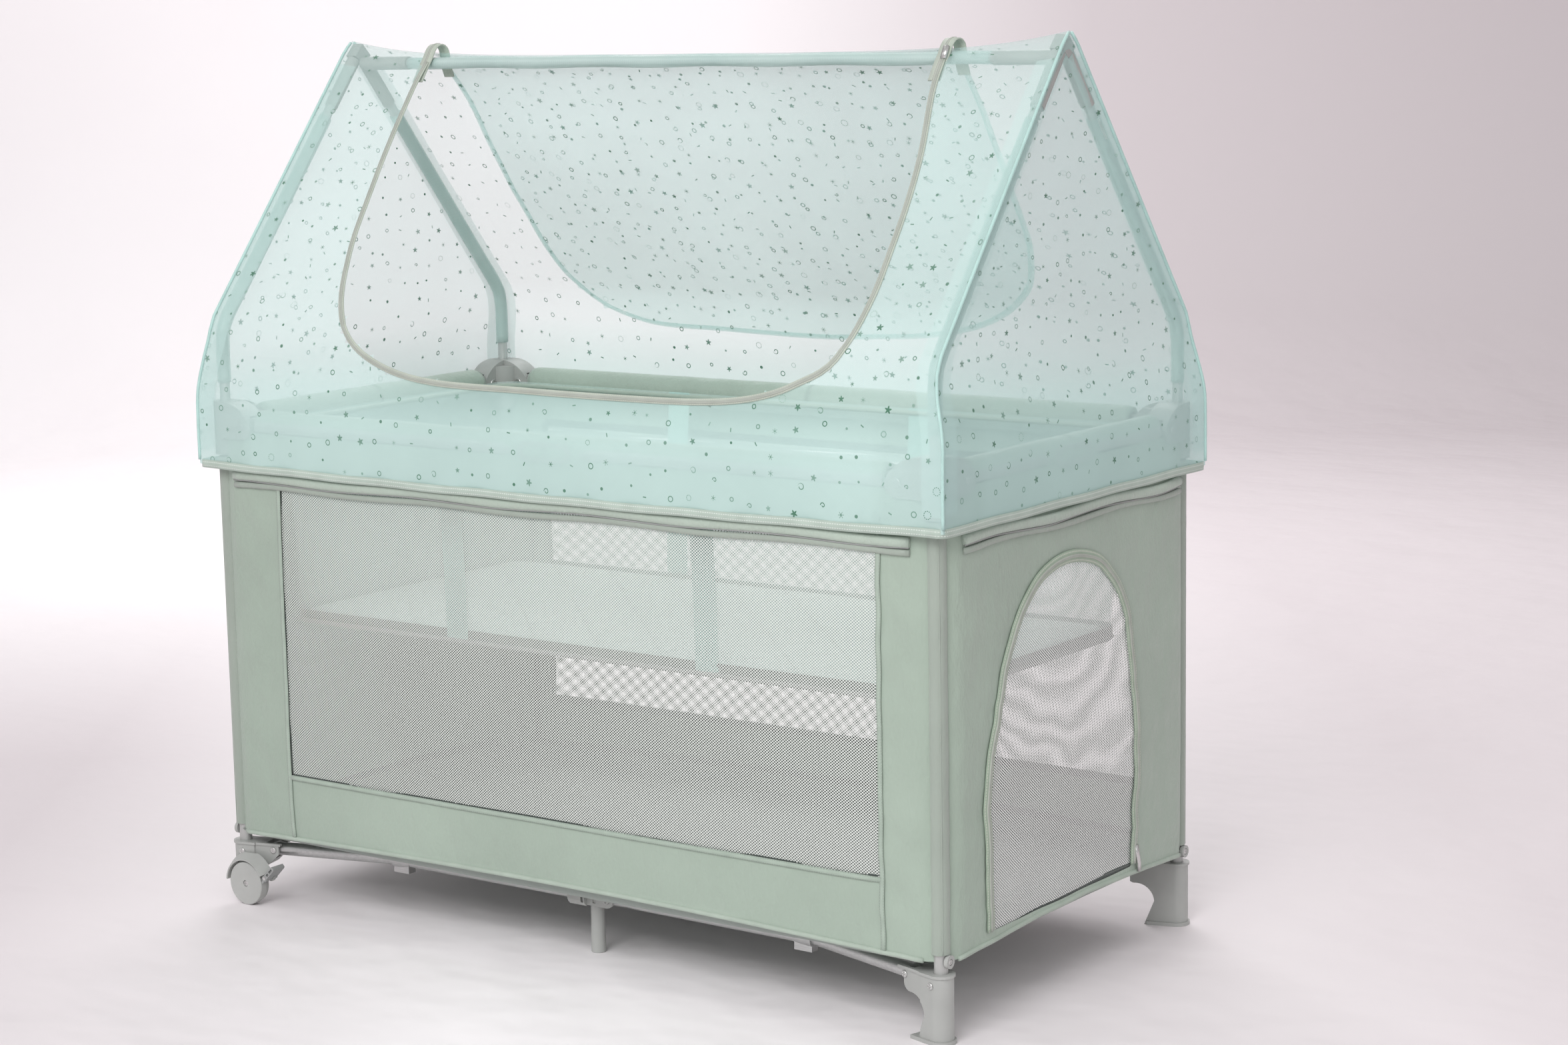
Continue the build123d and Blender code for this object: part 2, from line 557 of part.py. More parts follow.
def playpen_floor():
    sheet = slab(-HALF_X + 6, HALF_X - 6, -HALF_Y + 8, HALF_Y - 8, FLOOR_Z, FLOOR_Z + FLOOR_THICK)
    for side_x in (-1, 1):
        for side_y in (-1, 1):
            sheet -= Pos(side_x * HALF_X, side_y * HALF_Y, FLOOR_Z) * Cylinder(POST_RADIUS + 2, 20)
    return sheet


BASSINET_TOP_X, BASSINET_TOP_Y = 565.0, 266.0
BASSINET_LOW_X, BASSINET_LOW_Y = 543.0, 250.0
MATTRESS_THICK = 16.0


BASSINET_SHELL = 2.0


def leaning_panel(low_half, top_half, low_width, top_width, low_z):
    """A bassinet side leaning out along +x, from its low edge to the rail height."""
    return loft([
        Pos(low_half - BASSINET_SHELL / 2, 0, low_z) * Rectangle(BASSINET_SHELL, 2 * low_width),
        Pos(top_half - BASSINET_SHELL / 2, 0, RAIL_Z + 4) * Rectangle(BASSINET_SHELL, 2 * top_width),
    ])


def bassinet():
    """The hanging tub: a flat bottom and four leaning sides, each a closed panel."""
    low = BASSINET_Z + BASSINET_SHELL + GAP
    end = leaning_panel(BASSINET_LOW_X, BASSINET_TOP_X, BASSINET_LOW_Y, BASSINET_TOP_Y, low)
    side = leaning_panel(
        BASSINET_LOW_Y, BASSINET_TOP_Y, BASSINET_LOW_X - BASSINET_SHELL - GAP,
        BASSINET_TOP_X - BASSINET_SHELL - GAP, low,
    )
    bottom = slab(
        -BASSINET_LOW_X, BASSINET_LOW_X, -BASSINET_LOW_Y, BASSINET_LOW_Y,
        BASSINET_Z, BASSINET_Z + BASSINET_SHELL,
    )
    side = Rot(0, 0, 90) * side
    return joined([bottom, end, mirror(end, about=Plane.YZ), side, mirror(side, about=Plane.XZ)])


def mattress():
    low = BASSINET_Z + BASSINET_SHELL + GAP
    pad = slab(
        -BASSINET_LOW_X + 8, BASSINET_LOW_X - 8, -BASSINET_LOW_Y + 8, BASSINET_LOW_Y - 8,
        low, low + MATTRESS_THICK,
    )
    return fillet(pad.edges().filter_by(Axis.Z), 30)


# ---------------------------------------------------------------- write every node

corner_names = {(-1, -1): "front_left", (1, -1): "front_right", (1, 1): "rear_right", (-1, 1): "rear_left"}
for (side_x, side_y), name in corner_names.items():
    save(at_corner(post(), side_x, side_y), f"{name}_post")
    save(at_corner(corner_bracket(), side_x, side_y), f"{name}_bracket")
    save(at_corner(corner_screws(side_x < 0), side_x, side_y), f"{name}_screws")
    save(canopy_pole(side_x, side_y), f"canopy_pole_{name}")
    tube_at = Pos(BASE_PIVOT_X, BASE_PIVOT_Y, BASE_Z) * base_tube()
    save(at_corner(tube_at, side_x, side_y), f"base_tube_{name}")
    if side_x < 0:
        save(at_corner(wheel_housing(), side_x, side_y), f"{name}_wheel_housing")
        save(at_corner(wheel_hood(), side_x, side_y), f"{name}_wheel_hood")
        save(at_corner(wheel(), side_x, side_y), f"{name}_wheel")
        save(at_corner(brake_lever(), side_x, side_y), f"{name}_brake_lever")
    else:
        save(at_corner(foot(), side_x, side_y), f"{name}_foot")

for sign, name in ((-1, "front"), (1, "rear")):
    for side, end in ((-1, "left"), (1, "right")):
        save(along_x(rail_half(RAIL_HALF_X), side, sign * HALF_Y), f"{name}_rail_{end}_half")
    save(Pos(0, sign * HALF_Y, RAIL_Z) * knuckle(), f"{name}_rail_knuckle")
    save(Pos(0, sign * HALF_Y, RAIL_Z) * lock_button(), f"{name}_lock_button")
    middle = hub() if sign < 0 else mirror(hub(), about=Plane.XZ)
    save(Pos(0, sign * HUB_Y, BASE_Z) * middle, f"{name}_base_hub")
    save(long_wall(sign), f"{name}_wall")

for sign, name in ((-1, "left"), (1, "right")):
    for side, end in ((-1, "front"), (1, "rear")):
        save(along_y(rail_half(RAIL_HALF_Y), side, sign * HALF_X), f"{name}_rail_{end}_half")
    save(Pos(sign * HALF_X, 0, RAIL_Z) * swap_xy(knuckle()), f"{name}_rail_knuckle")
    save(Pos(sign * HALF_X, 0, RAIL_Z) * lock_button(), f"{name}_lock_button")
    save(short_wall(sign), f"{name}_wall")
    save(peak_connector(sign), f"{name}_peak_connector")

save(ridge_pole(), "ridge_pole")
save(canopy_cover(), "canopy_cover")
save(canopy_flap(), "canopy_flap")
save(playpen_floor(), "playpen_floor")
save(bassinet(), "bassinet")
save(mattress(), "mattress")
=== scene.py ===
import math
import bpy
from mathutils import Matrix, Vector, noise


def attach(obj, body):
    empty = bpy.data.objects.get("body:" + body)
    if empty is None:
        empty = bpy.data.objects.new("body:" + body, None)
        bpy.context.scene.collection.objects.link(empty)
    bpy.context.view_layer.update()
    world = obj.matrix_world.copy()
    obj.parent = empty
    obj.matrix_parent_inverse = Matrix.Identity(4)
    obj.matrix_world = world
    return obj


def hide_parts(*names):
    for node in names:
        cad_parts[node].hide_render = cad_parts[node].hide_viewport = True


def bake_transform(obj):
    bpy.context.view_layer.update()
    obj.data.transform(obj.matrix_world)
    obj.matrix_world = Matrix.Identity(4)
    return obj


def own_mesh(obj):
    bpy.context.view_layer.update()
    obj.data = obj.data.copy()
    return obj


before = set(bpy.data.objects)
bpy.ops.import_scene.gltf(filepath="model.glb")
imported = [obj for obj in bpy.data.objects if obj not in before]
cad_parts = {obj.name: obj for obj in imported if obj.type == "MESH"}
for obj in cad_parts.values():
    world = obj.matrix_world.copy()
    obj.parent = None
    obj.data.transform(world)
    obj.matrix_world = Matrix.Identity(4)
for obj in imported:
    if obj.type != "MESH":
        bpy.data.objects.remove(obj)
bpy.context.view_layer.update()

# ---------------------------------------------------------------- sizes in metres, from the frame
HALF_X, HALF_Y = 0.600, 0.301          # corner post axes
RAIL_Z, PAD_R = 0.698, 0.0232          # top rail axis and the padded cloth round it
WALL_Y, WALL_X = 0.3145, 0.6145        # cloth walls, outside of the posts' axes
FLOOR_Z, HEM_Z = 0.096, 0.104
KINK_Z = 0.837
SAGE = (0.372, 0.455, 0.382)
MINT = (0.665, 0.850, 0.815)


# ---------------------------------------------------------------- materials

class Mat:
    """Short names for one procedural material."""

    def __init__(self, name, rough=0.6, metal=0.0, sheen=0.0, coat=0.0, spec=0.5):
        self.mat = bpy.data.materials.new(name)
        self.mat.use_nodes = True
        self.tree = self.mat.node_tree
        self.bsdf = self.tree.nodes["Principled BSDF"]
        self.bsdf.inputs["Roughness"].default_value = rough
        self.bsdf.inputs["Metallic"].default_value = metal
        self.bsdf.inputs["Sheen Weight"].default_value = sheen
        self.bsdf.inputs["Coat Weight"].default_value = coat
        self.bsdf.inputs["Specular IOR Level"].default_value = spec
        self.coords = self.tree.nodes.new("ShaderNodeTexCoord")

    def put(self, value, socket):
        if isinstance(value, bpy.types.NodeSocket):
            self.tree.links.new(value, socket)
        else:
            socket.default_value = value

    def math(self, operation, a, b=0.0, c=0.0, clamp=False):
        node = self.tree.nodes.new("ShaderNodeMath")
        node.operation = operation
        node.use_clamp = clamp
        for value, socket in zip((a, b, c), node.inputs):
            self.put(value, socket)
        return node.outputs[0]

    def mul(self, a, b):
        return self.math("MULTIPLY", a, b)

    def mad(self, a, b, c):
        return self.math("MULTIPLY_ADD", a, b, c)

    def div(self, a, b):
        return self.math("DIVIDE", a, b)

    def add(self, a, b):
        return self.math("ADD", a, b)

    def sub(self, a, b):
        return self.math("SUBTRACT", a, b)

    def less(self, a, b):
        return self.math("LESS_THAN", a, b)

    def abs(self, a):
        return self.math("ABSOLUTE", a)

    def sin(self, a):
        return self.math("SINE", a)

    def noise(self, scale, detail=2.0, where=None, stretch=(1, 1, 1), rough=0.5):
        mapping = self.tree.nodes.new("ShaderNodeMapping")
        mapping.inputs["Scale"].default_value = stretch
        self.put(where or self.coords.outputs["Object"], mapping.inputs["Vector"])
        node = self.tree.nodes.new("ShaderNodeTexNoise")
        node.inputs["Scale"].default_value = scale
        node.inputs["Detail"].default_value = detail
        node.inputs["Roughness"].default_value = rough
        self.put(mapping.outputs[0], node.inputs["Vector"])
        return node.outputs["Fac"]

    def split(self, where=None):
        node = self.tree.nodes.new("ShaderNodeSeparateXYZ")
        self.put(where or self.coords.outputs["UV"], node.inputs[0])
        return node.outputs

    def blend(self, factor, a, b):
        node = self.tree.nodes.new("ShaderNodeMix")
        node.data_type = "RGBA"
        self.put(factor, node.inputs["Factor"])
        for value, socket in ((a, node.inputs["A"]), (b, node.inputs["B"])):
            self.put(value if isinstance(value, bpy.types.NodeSocket) else (*value[:3], 1), socket)
        return node.outputs["Result"]

    def ramp(self, value, low, high, to_low=0.0, to_high=1.0):
        node = self.tree.nodes.new("ShaderNodeMapRange")
        node.clamp = True
        for v, name in ((value, "Value"), (low, "From Min"), (high, "From Max"),
                        (to_low, "To Min"), (to_high, "To Max")):
            self.put(v, node.inputs[name])
        return node.outputs[0]

    def color(self, value):
        socket = self.bsdf.inputs["Base Color"]
        self.put(value if isinstance(value, bpy.types.NodeSocket) else (*value[:3], 1), socket)

    def bump(self, height, strength=0.3, distance=0.001, before=None):
        node = self.tree.nodes.new("ShaderNodeBump")
        node.inputs["Strength"].default_value = strength
        node.inputs["Distance"].default_value = distance
        self.put(height, node.inputs["Height"])
        if before is not None:
            self.put(before, node.inputs["Normal"])
        self.put(node.outputs[0], self.bsdf.inputs["Normal"])
        return node.outputs[0]


def dark(color, share):
    return tuple(c * share for c in color[:3])


def plastic(name, color, rough=0.42, grain=900):
    """Moulded plastic: fine spark texture, faint mottling and slightly polished high spots."""
    m = Mat(name, rough)
    broad = m.noise(14, 3)
    m.color(m.blend(m.ramp(broad, 0.35, 0.65), dark(color, 0.93), dark(color, 1.05)))
    m.put(m.ramp(m.noise(60, 2), 0.3, 0.7, rough - 0.06, rough + 0.08), m.bsdf.inputs["Roughness"])
    m.bump(m.noise(grain, 2), 0.12, 0.0004)
    return m.mat


def coated(name, color, rough=0.32, metal=0.35):
    """Powder coated steel with orange peel."""
    m = Mat(name, rough, metal)
    m.color(m.blend(m.ramp(m.noise(9, 3), 0.3, 0.7), dark(color, 0.95), dark(color, 1.04)))
    m.put(m.ramp(m.noise(40, 3), 0.3, 0.7, rough - 0.05, rough + 0.07), m.bsdf.inputs["Roughness"])
    m.bump(m.noise(420, 2), 0.10, 0.0004)
    return m.mat


def steel(name, color=(0.62, 0.62, 0.61), rough=0.28, stretch=(1, 1, 0.05)):
    """Bare or zinc plated steel with fine drawn lines."""
    m = Mat(name, rough, 1.0)
    lines = m.noise(700, 2, stretch=stretch)
    m.color(m.blend(m.ramp(lines, 0.3, 0.7), dark(color, 0.9), dark(color, 1.08)))
    m.put(m.ramp(m.noise(50, 2), 0.3, 0.7, rough - 0.06, rough + 0.1), m.bsdf.inputs["Roughness"])
    m.bump(lines, 0.08, 0.0003)
    return m.mat


def weave_height(m, pitch):
    """Plain weave from UV in metres: threads over and under each other."""
    u, v = m.split()[:2]
    turn = 2 * math.pi / pitch
    warp = m.sin(m.mul(u, turn))
    weft = m.sin(m.mul(v, turn))
    return m.mul(warp, weft)


def woven(name, color, pitch=0.0016, rough=0.58, sheen=0.25, crease=0.5, shade=0.9):
    """Woven polyester: weave, soft colour drift and small tension creases."""
    m = Mat(name, rough, sheen=sheen, spec=0.35)
    drift = m.ramp(m.noise(5, 3), 0.3, 0.7)
    tone = m.blend(drift, dark(color, shade), dark(color, 1.04))
    height = weave_height(m, pitch)
    threads = m.ramp(height, -1, 1)
    m.color(m.blend(m.mul(threads, 0.22), tone, dark(color, 0.78)))
    m.put(m.ramp(m.noise(30, 3), 0.3, 0.7, rough - 0.07, rough + 0.07), m.bsdf.inputs["Roughness"])
    fold = m.bump(m.noise(15, 5, stretch=(1.0, 1.0, 0.5), rough=0.62), crease, 0.010)
    m.bump(height, 0.22, 0.00025, before=fold)
    return m.mat


def tape(name, color, half, stitch_share=0.68, stitch=(0.55, 0.58, 0.50), pitch=0.0036, rib=0.0012):
    """Binding or zip tape: u runs along it and v across; ribbed, with a row of stitches near each edge."""
    m = Mat(name, 0.62, sheen=0.2, spec=0.3)
    u, v = m.split()[:2]
    side = m.abs(v)
    near = m.math("COMPARE", side, half * stitch_share, half * 0.10)
    phase = m.math("FRACT", m.div(u, pitch))
    dash = m.mul(near, m.less(phase, 0.68))
    ribs = m.sin(m.mul(u, 2 * math.pi / rib))
    tone = m.blend(m.ramp(m.noise(40, 3), 0.3, 0.7), dark(color, 0.92), dark(color, 1.05))
    m.color(m.blend(dash, tone, stitch))
    folds = m.bump(m.noise(90, 3), 0.35, 0.002)
    raised = m.add(m.mul(ribs, 0.25), m.mul(dash, 1.2))
    m.bump(raised, 0.45, 0.0003, before=folds)
    return m.mat


def wall_net(name, color=(0.70, 0.735, 0.70), wide=0.0023, high=0.0019):
    """Playpen net: rows of staggered rounded holes between white threads."""
    m = Mat(name, 0.65, sheen=0.1, spec=0.3)
    u, v = m.split()[:2]
    a = m.math("COSINE", m.mul(u, math.pi / wide))
    b = m.math("COSINE", m.mul(v, math.pi / high))
    lattice = m.mul(a, b)
    m.put(m.ramp(lattice, 0.07, 0.13, 1.0, 0.0), m.bsdf.inputs["Alpha"])
    m.color(m.blend(m.ramp(lattice, -1, 0.15), dark(color, 1.08), dark(color, 0.86)))
    m.bump(lattice, 0.4, 0.0006)
    return m.mat


def printed_net(name, color=MINT, clear=0.34, dense=0.64, cell=0.033):
    """Very fine printed net: faint threads, scattered dots, rings, stars, crosses and short dashes."""
    m = Mat(name, 0.7, sheen=0.2, spec=0.2)
    u, v = m.split()[:2]
    cu, cv = m.div(u, cell), m.div(v, cell)
    iu, iv = m.math("FLOOR", cu), m.math("FLOOR", cv)

    def random(seed):
        join = m.tree.nodes.new("ShaderNodeCombineXYZ")
        m.put(iu, join.inputs[0])
        m.put(iv, join.inputs[1])
        join.inputs[2].default_value = seed
        node = m.tree.nodes.new("ShaderNodeTexWhiteNoise")
        m.put(join.outputs[0], node.inputs["Vector"])
        return node.outputs["Value"]

    jx = m.mad(random(1.0), 0.56, -0.78)
    jy = m.mad(random(2.0), 0.56, -0.78)
    x = m.mul(m.add(m.sub(cu, iu), jx), cell)
    y = m.mul(m.add(m.sub(cv, iv), jy), cell)
    r = m.math("SQRT", m.add(m.mul(x, x), m.mul(y, y)))
    turn = m.mul(random(3.0), 6.283)
    angle = m.add(m.math("ARCTAN2", y, x), turn)
    size = m.mad(random(4.0), 0.0013, 0.0023)
    dot = m.less(r, m.mul(size, 0.72))
    ring = m.less(m.abs(m.sub(r, size)), 0.00065)
    points = m.abs(m.sub(m.math("FRACT", m.mul(angle, 5 / 6.283)), 0.5))
    star = m.less(r, m.mul(size, m.mad(points, 2.1, 0.52)))
    spokes = m.abs(m.sin(m.mul(angle, 3.0)))
    burst = m.mul(m.less(m.mul(spokes, r), 0.0010), m.less(r, m.mul(size, 1.25)))
    along = m.abs(m.mul(r, m.math("COSINE", angle)))
    across = m.abs(m.mul(r, m.sin(angle)))
    dash = m.mul(m.less(along, 0.0027), m.less(across, 0.0008))
    kind = random(5.0)
    total = None
    beads = m.math("GREATER_THAN", m.sin(m.mul(angle, 11.0)), -0.2)
    beaded = m.mul(m.less(m.abs(m.sub(r, m.mul(size, 1.4))), 0.0005), beads)
    wound = m.mad(angle, 0.00042, 0.0016)
    swirl = m.mul(m.less(m.abs(m.sub(r, wound)), 0.0006), m.less(r, 0.0046))
    for low, high, shape in ((0.0, 0.22, dot), (0.22, 0.42, ring), (0.42, 0.53, star), (0.53, 0.64, burst),
                             (0.64, 0.80, dash), (0.80, 0.86, beaded), (0.86, 0.96, swirl)):
        chosen = m.mul(m.math("GREATER_THAN", kind, low), m.less(kind, high))
        part = m.mul(chosen, shape)
        total = part if total is None else m.math("MAXIMUM", total, part)
    pale = m.mul(total, m.mad(random(6.0), 0.30, 0.70))
    drift = m.ramp(m.noise(4, 3), 0.3, 0.7)
    m.color(m.blend(pale, m.blend(drift, dark(color, 0.96), dark(color, 1.04)), (0.070, 0.185, 0.120)))
    # Closer cloth on the skirt, clearer again where the corner brackets show through it
    place = m.split(m.coords.outputs["Object"])
    low = m.ramp(place[2], 0.715, 0.800, 1.0, 0.0)
    corner = m.mul(m.ramp(m.abs(place[0]), 0.520, 0.545, 0.0, 0.20), m.ramp(m.abs(place[1]), 0.225, 0.250))
    cloth = m.mad(m.sub(low, m.mul(corner, low)), dense - clear, clear)
    threads = m.mul(weave_height(m, 0.0018), 0.04)
    cloth = m.add(cloth, threads)
    ink = m.mul(pale, 0.62)
    m.put(m.math("MAXIMUM", cloth, m.add(ink, cloth), clamp=True), m.bsdf.inputs["Alpha"])
    m.bump(m.noise(9, 3, rough=0.5), 0.16, 0.004)
    return m.mat


def quilt(name, color, pitch=0.11):
    """Padded cloth with sewn lines both ways, painted darker along the lines as painted shade in the dips."""
    m = Mat(name, 0.62, sheen=0.3, spec=0.3)
    u, v = m.split()[:2]
    lines = []
    for a in (m.add(u, v), m.sub(u, v)):
        lines.append(m.abs(m.sin(m.mul(a, math.pi / pitch))))
    puff = m.math("POWER", m.mul(lines[0], lines[1]), 0.35)
    # Painted shade: the colour darkens along the sewn lines where the padding dips
    m.color(m.blend(m.ramp(puff, 0.0, 0.35), dark(color, 0.72), color))
    m.bump(puff, 0.6, 0.006)
    return m.mat


grey = plastic("moulded grey plastic", (0.40, 0.41, 0.395))
grey_dark = plastic("moulded darker plastic", (0.31, 0.32, 0.315))
tread = plastic("wheel plastic", (0.43, 0.44, 0.425), 0.36)
tube_paint = coated("powder coated tube", (0.47, 0.475, 0.465))
bright_tube = steel("bright base tube", (0.55, 0.555, 0.55), 0.34, (0.05, 1, 1))
zinc = steel("zinc screws", (0.66, 0.66, 0.65), 0.3, (1, 1, 1))
white_pole = coated("canopy pole", (0.62, 0.64, 0.63), 0.35, 0.6)
sage = woven("sage polyester", SAGE, rough=0.42, crease=0.75)
sage_smooth = woven("sage sleeve nylon", (0.350, 0.402, 0.352), rough=0.40, crease=0.5)
roll_cloth = woven("pale gathered roll", (0.435, 0.515, 0.445), rough=0.45, crease=0.9)
sage_roll = woven("padded rail cloth", (0.385, 0.47, 0.405), rough=0.52, crease=0.7)
# Floor cloth: darker than the wall sage, partly its own tone and partly painted shade for the floor inside
# the pen; the bassinet's bottom uses it too
floor_cloth_with_painted_shade = woven("floor cloth", (0.27, 0.31, 0.283), crease=0.3)
base_band = woven("bassinet base band", (0.13, 0.165, 0.148), crease=0.4)
bassinet_band = woven("mint bassinet cloth", (0.38, 0.60, 0.55), crease=0.6)
seam_tape = tape("sewn panel seam", (0.375, 0.452, 0.385), 0.0036, 0.75, (0.27, 0.33, 0.28))
binding = tape("sage binding", (0.405, 0.475, 0.410), 0.0075)
hem_tape = tape("canopy hem", (0.43, 0.515, 0.455), 0.0058, 0.45, (0.62, 0.68, 0.63))
zip_tape = tape("zip tape", (0.46, 0.515, 0.445), 0.0044)
door_tape = tape("door zip tape", (0.34, 0.43, 0.335), 0.0085, rib=0.0016)
mint_tape = tape("mint binding", (0.46, 0.67, 0.63), 0.008, stitch=(0.16, 0.30, 0.25))
seam_dark = tape("dark seam binding", (0.060, 0.075, 0.068), 0.004, stitch=(0.20, 0.22, 0.20))
coil = tape("zip coil", (0.42, 0.45, 0.40), 0.0022, 0.1, (0.30, 0.33, 0.29), 0.0013)
# The walls and the door carry the same white net in a lit and a shaded copy: the door's copy is painted
# lighter as painted light
net = wall_net("white playpen net", (0.70, 0.735, 0.70))
lit_door_net = wall_net("white door net", (0.90, 0.92, 0.90))
canopy_net = printed_net("printed mint net", (0.635, 0.845, 0.812))
gable_net = printed_net("printed mint net gable", (0.605, 0.84, 0.81), clear=0.41)
flap_net = printed_net("printed mint net flap", (0.60, 0.835, 0.80), clear=0.40)
mattress_cloth = quilt("quilted mattress cloth", (0.60, 0.70, 0.665))


def mint_mesh(name):
    """The bassinet's side cloth: a close mint net with a satin face."""
    m = Mat(name, 0.55, sheen=0.3, spec=0.3)
    m.color(m.blend(m.ramp(m.noise(7, 3), 0.3, 0.7), (0.60, 0.80, 0.755), (0.74, 0.90, 0.87)))
    m.put(m.mad(weave_height(m, 0.0022), 0.12, 0.33), m.bsdf.inputs["Alpha"])
    m.bump(m.noise(16, 4, stretch=(1, 1, 0.35), rough=0.6), 0.7, 0.012)
    return m.mat


bassinet_net = mint_mesh("mint bassinet net")


def sleeve_cloth(name):
    """Close net sewn round the canopy poles: the pole just shows through it."""
    m = Mat(name, 0.6, sheen=0.3, spec=0.25)
    m.color(m.blend(m.ramp(m.noise(12, 3), 0.3, 0.7), (0.54, 0.735, 0.70), (0.62, 0.80, 0.765)))
    m.put(m.mad(weave_height(m, 0.0018), 0.06, 0.56), m.bsdf.inputs["Alpha"])
    m.bump(m.noise(70, 3, rough=0.6), 0.5, 0.003)
    return m.mat


sleeve_net = sleeve_cloth("mint pole sleeve")


def second_layer(name, share=0.36):
    """Plain mint net doubled along an edge."""
    m = Mat(name, 0.7, sheen=0.2, spec=0.2)
    m.color(m.blend(m.ramp(m.noise(6, 3), 0.3, 0.7), dark(MINT, 0.92), MINT))
    m.put(m.mad(weave_height(m, 0.0018), 0.04, share), m.bsdf.inputs["Alpha"])
    m.bump(m.noise(40, 3), 0.2, 0.002)
    return m.mat


channel_net = second_layer("doubled mint net")
flap_hem = second_layer("mint net hem", 0.42)


# ---------------------------------------------------------------- mesh helpers

def make(name, points, faces, uvs, material, smooth=True):
    """A mesh object from points, faces and one UV per point."""
    mesh = bpy.data.meshes.new(name)
    mesh.from_pydata([tuple(p) for p in points], [], faces)
    layer = mesh.uv_layers.new(name="UVMap")
    for loop in mesh.loops:
        layer.data[loop.index].uv = uvs[loop.vertex_index]
    for face in mesh.polygons:
        face.use_smooth = smooth
    mesh.materials.append(material)
    mesh.validate()
    obj = bpy.data.objects.new(name, mesh)
    bpy.context.collection.objects.link(obj)
    return obj


def grid(name, place, us, vs, material, uv=None, keep=None, snap=None):
    """A sheet from place(u, v); keep(u, v) drops cells and snap(u, v) pulls points onto a cut line."""
    points, uvs, faces = [], [], []
    for v in vs:
        for u in us:
            su, sv = snap(u, v) if snap else (u, v)
            points.append(place(su, sv))
            uvs.append(uv(su, sv) if uv else (su, sv))
    wide = len(us)
    for j in range(len(vs) - 1):
        for i in range(wide - 1):
            if keep and not keep((us[i] + us[i + 1]) / 2, (vs[j] + vs[j + 1]) / 2):
                continue
            a = j * wide + i
            faces.append((a, a + 1, a + 1 + wide, a + wide))
    used = sorted({i for face in faces for i in face})
    index = {old: new for new, old in enumerate(used)}
    return make(name, [points[i] for i in used], [tuple(index[i] for i in f) for f in faces],
                [uvs[i] for i in used], material)


def steps(low, high, count, *also):
    """Evenly spaced values, with some exact ones among them."""
    values = {round(low + (high - low) * i / count, 5) for i in range(count + 1)}
    gap = (high - low) / count * 0.45
    for extra in also:
        values = {v for v in values if abs(v - extra) > gap or v in (round(low, 5), round(high, 5))}
        values.add(extra)
    return sorted(values)


def smooth_line(points, step):
    """Points evenly spaced along a smooth line through the given ones."""
    curve = []
    pts = [Vector(p) for p in points]
    for i in range(len(pts) - 1):
        a, b = pts[max(i - 1, 0)], pts[i]
        c, d = pts[i + 1], pts[min(i + 2, len(pts) - 1)]
        count = max(2, int((c - b).length / step))
        for k in range(count):
            t = k / count
            curve.append(0.5 * (2 * b + (c - a) * t + (2 * a - 5 * b + 4 * c - d) * t * t
                                + (3 * b - a - 3 * c + d) * t ** 3))
    curve.append(pts[-1])
    return curve


def sweep(name, path, profile, material, normals=None, closed=False, caps=True):
    """A closed profile [(across, up)] carried along a path; up follows the given normals."""
    path = [Vector(p) for p in path]
    count, sides = len(path), len(profile)
    points, uvs, faces = [], [], []
    length = 0.0
    for i, p in enumerate(path):
        before = path[i - 1] if i or closed else p
        after = path[(i + 1) % count] if i < count - 1 or closed else p
        along = (after - before).normalized()
        up = normals if isinstance(normals, Vector) else Vector(normals[i])
        up = (up - along * up.dot(along)).normalized()
        across = along.cross(up)
        if i:
            length += (p - path[i - 1]).length
        for a, b in profile:
            points.append(p + across * a + up * b)
            uvs.append((length, a))
    rows = count if closed else count - 1
    for i in range(rows):
        for k in range(sides):
            a, b = i * sides + k, i * sides + (k + 1) % sides
            c, d = ((i + 1) % count) * sides + (k + 1) % sides, ((i + 1) % count) * sides + k
            faces.append((a, b, c, d))
    if caps and not closed:
        faces += [tuple(reversed(range(sides))), tuple(range((count - 1) * sides, count * sides))]
    return make(name, points, faces, uvs, material)


def flat_profile(half, thick):
    return [(-half, 0), (-half * 0.93, thick), (0, thick * 1.25), (half * 0.93, thick), (half, 0),
            (half * 0.9, -thick * 0.4), (-half * 0.9, -thick * 0.4)]


def round_profile(radius, sides=10, squash=1.0):
    return [(radius * math.cos(2 * math.pi * k / sides), radius * squash * math.sin(2 * math.pi * k / sides))
            for k in range(sides)]


def ripple(x, y, seed, scale=9.0):
    """Smooth wrinkle height, about -1 to 1."""
    return noise.noise(Vector((x * scale, y * scale, seed))) + 0.5 * noise.noise(
        Vector((x * scale * 2.3, y * scale * 2.3, seed + 5)))


def nearest_on(line, u, v):
    """Closest point of a 2-D polyline, and its distance."""
    best, where = 1e9, (u, v)
    for (ax, ay), (bx, by) in zip(line, line[1:]):
        dx, dy = bx - ax, by - ay
        t = max(0.0, min(1.0, ((u - ax) * dx + (v - ay) * dy) / max(dx * dx + dy * dy, 1e-12)))
        px, py = ax + dx * t, ay + dy * t
        d = math.hypot(u - px, v - py)
        if d < best:
            best, where = d, (px, py)
    return where, best


def inside(loop, u, v):
    """True if a point lies in a closed 2-D loop."""
    hit = False
    for (ax, ay), (bx, by) in zip(loop, loop[1:] + loop[:1]):
        if (ay > v) != (by > v) and u < (bx - ax) * (v - ay) / (by - ay) + ax:
            hit = not hit
    return hit


# ---------------------------------------------------------------- CAD pieces keep their shape

def dress(node, material):
    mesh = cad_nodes[node].data
    mesh.materials.clear()
    mesh.materials.append(material)


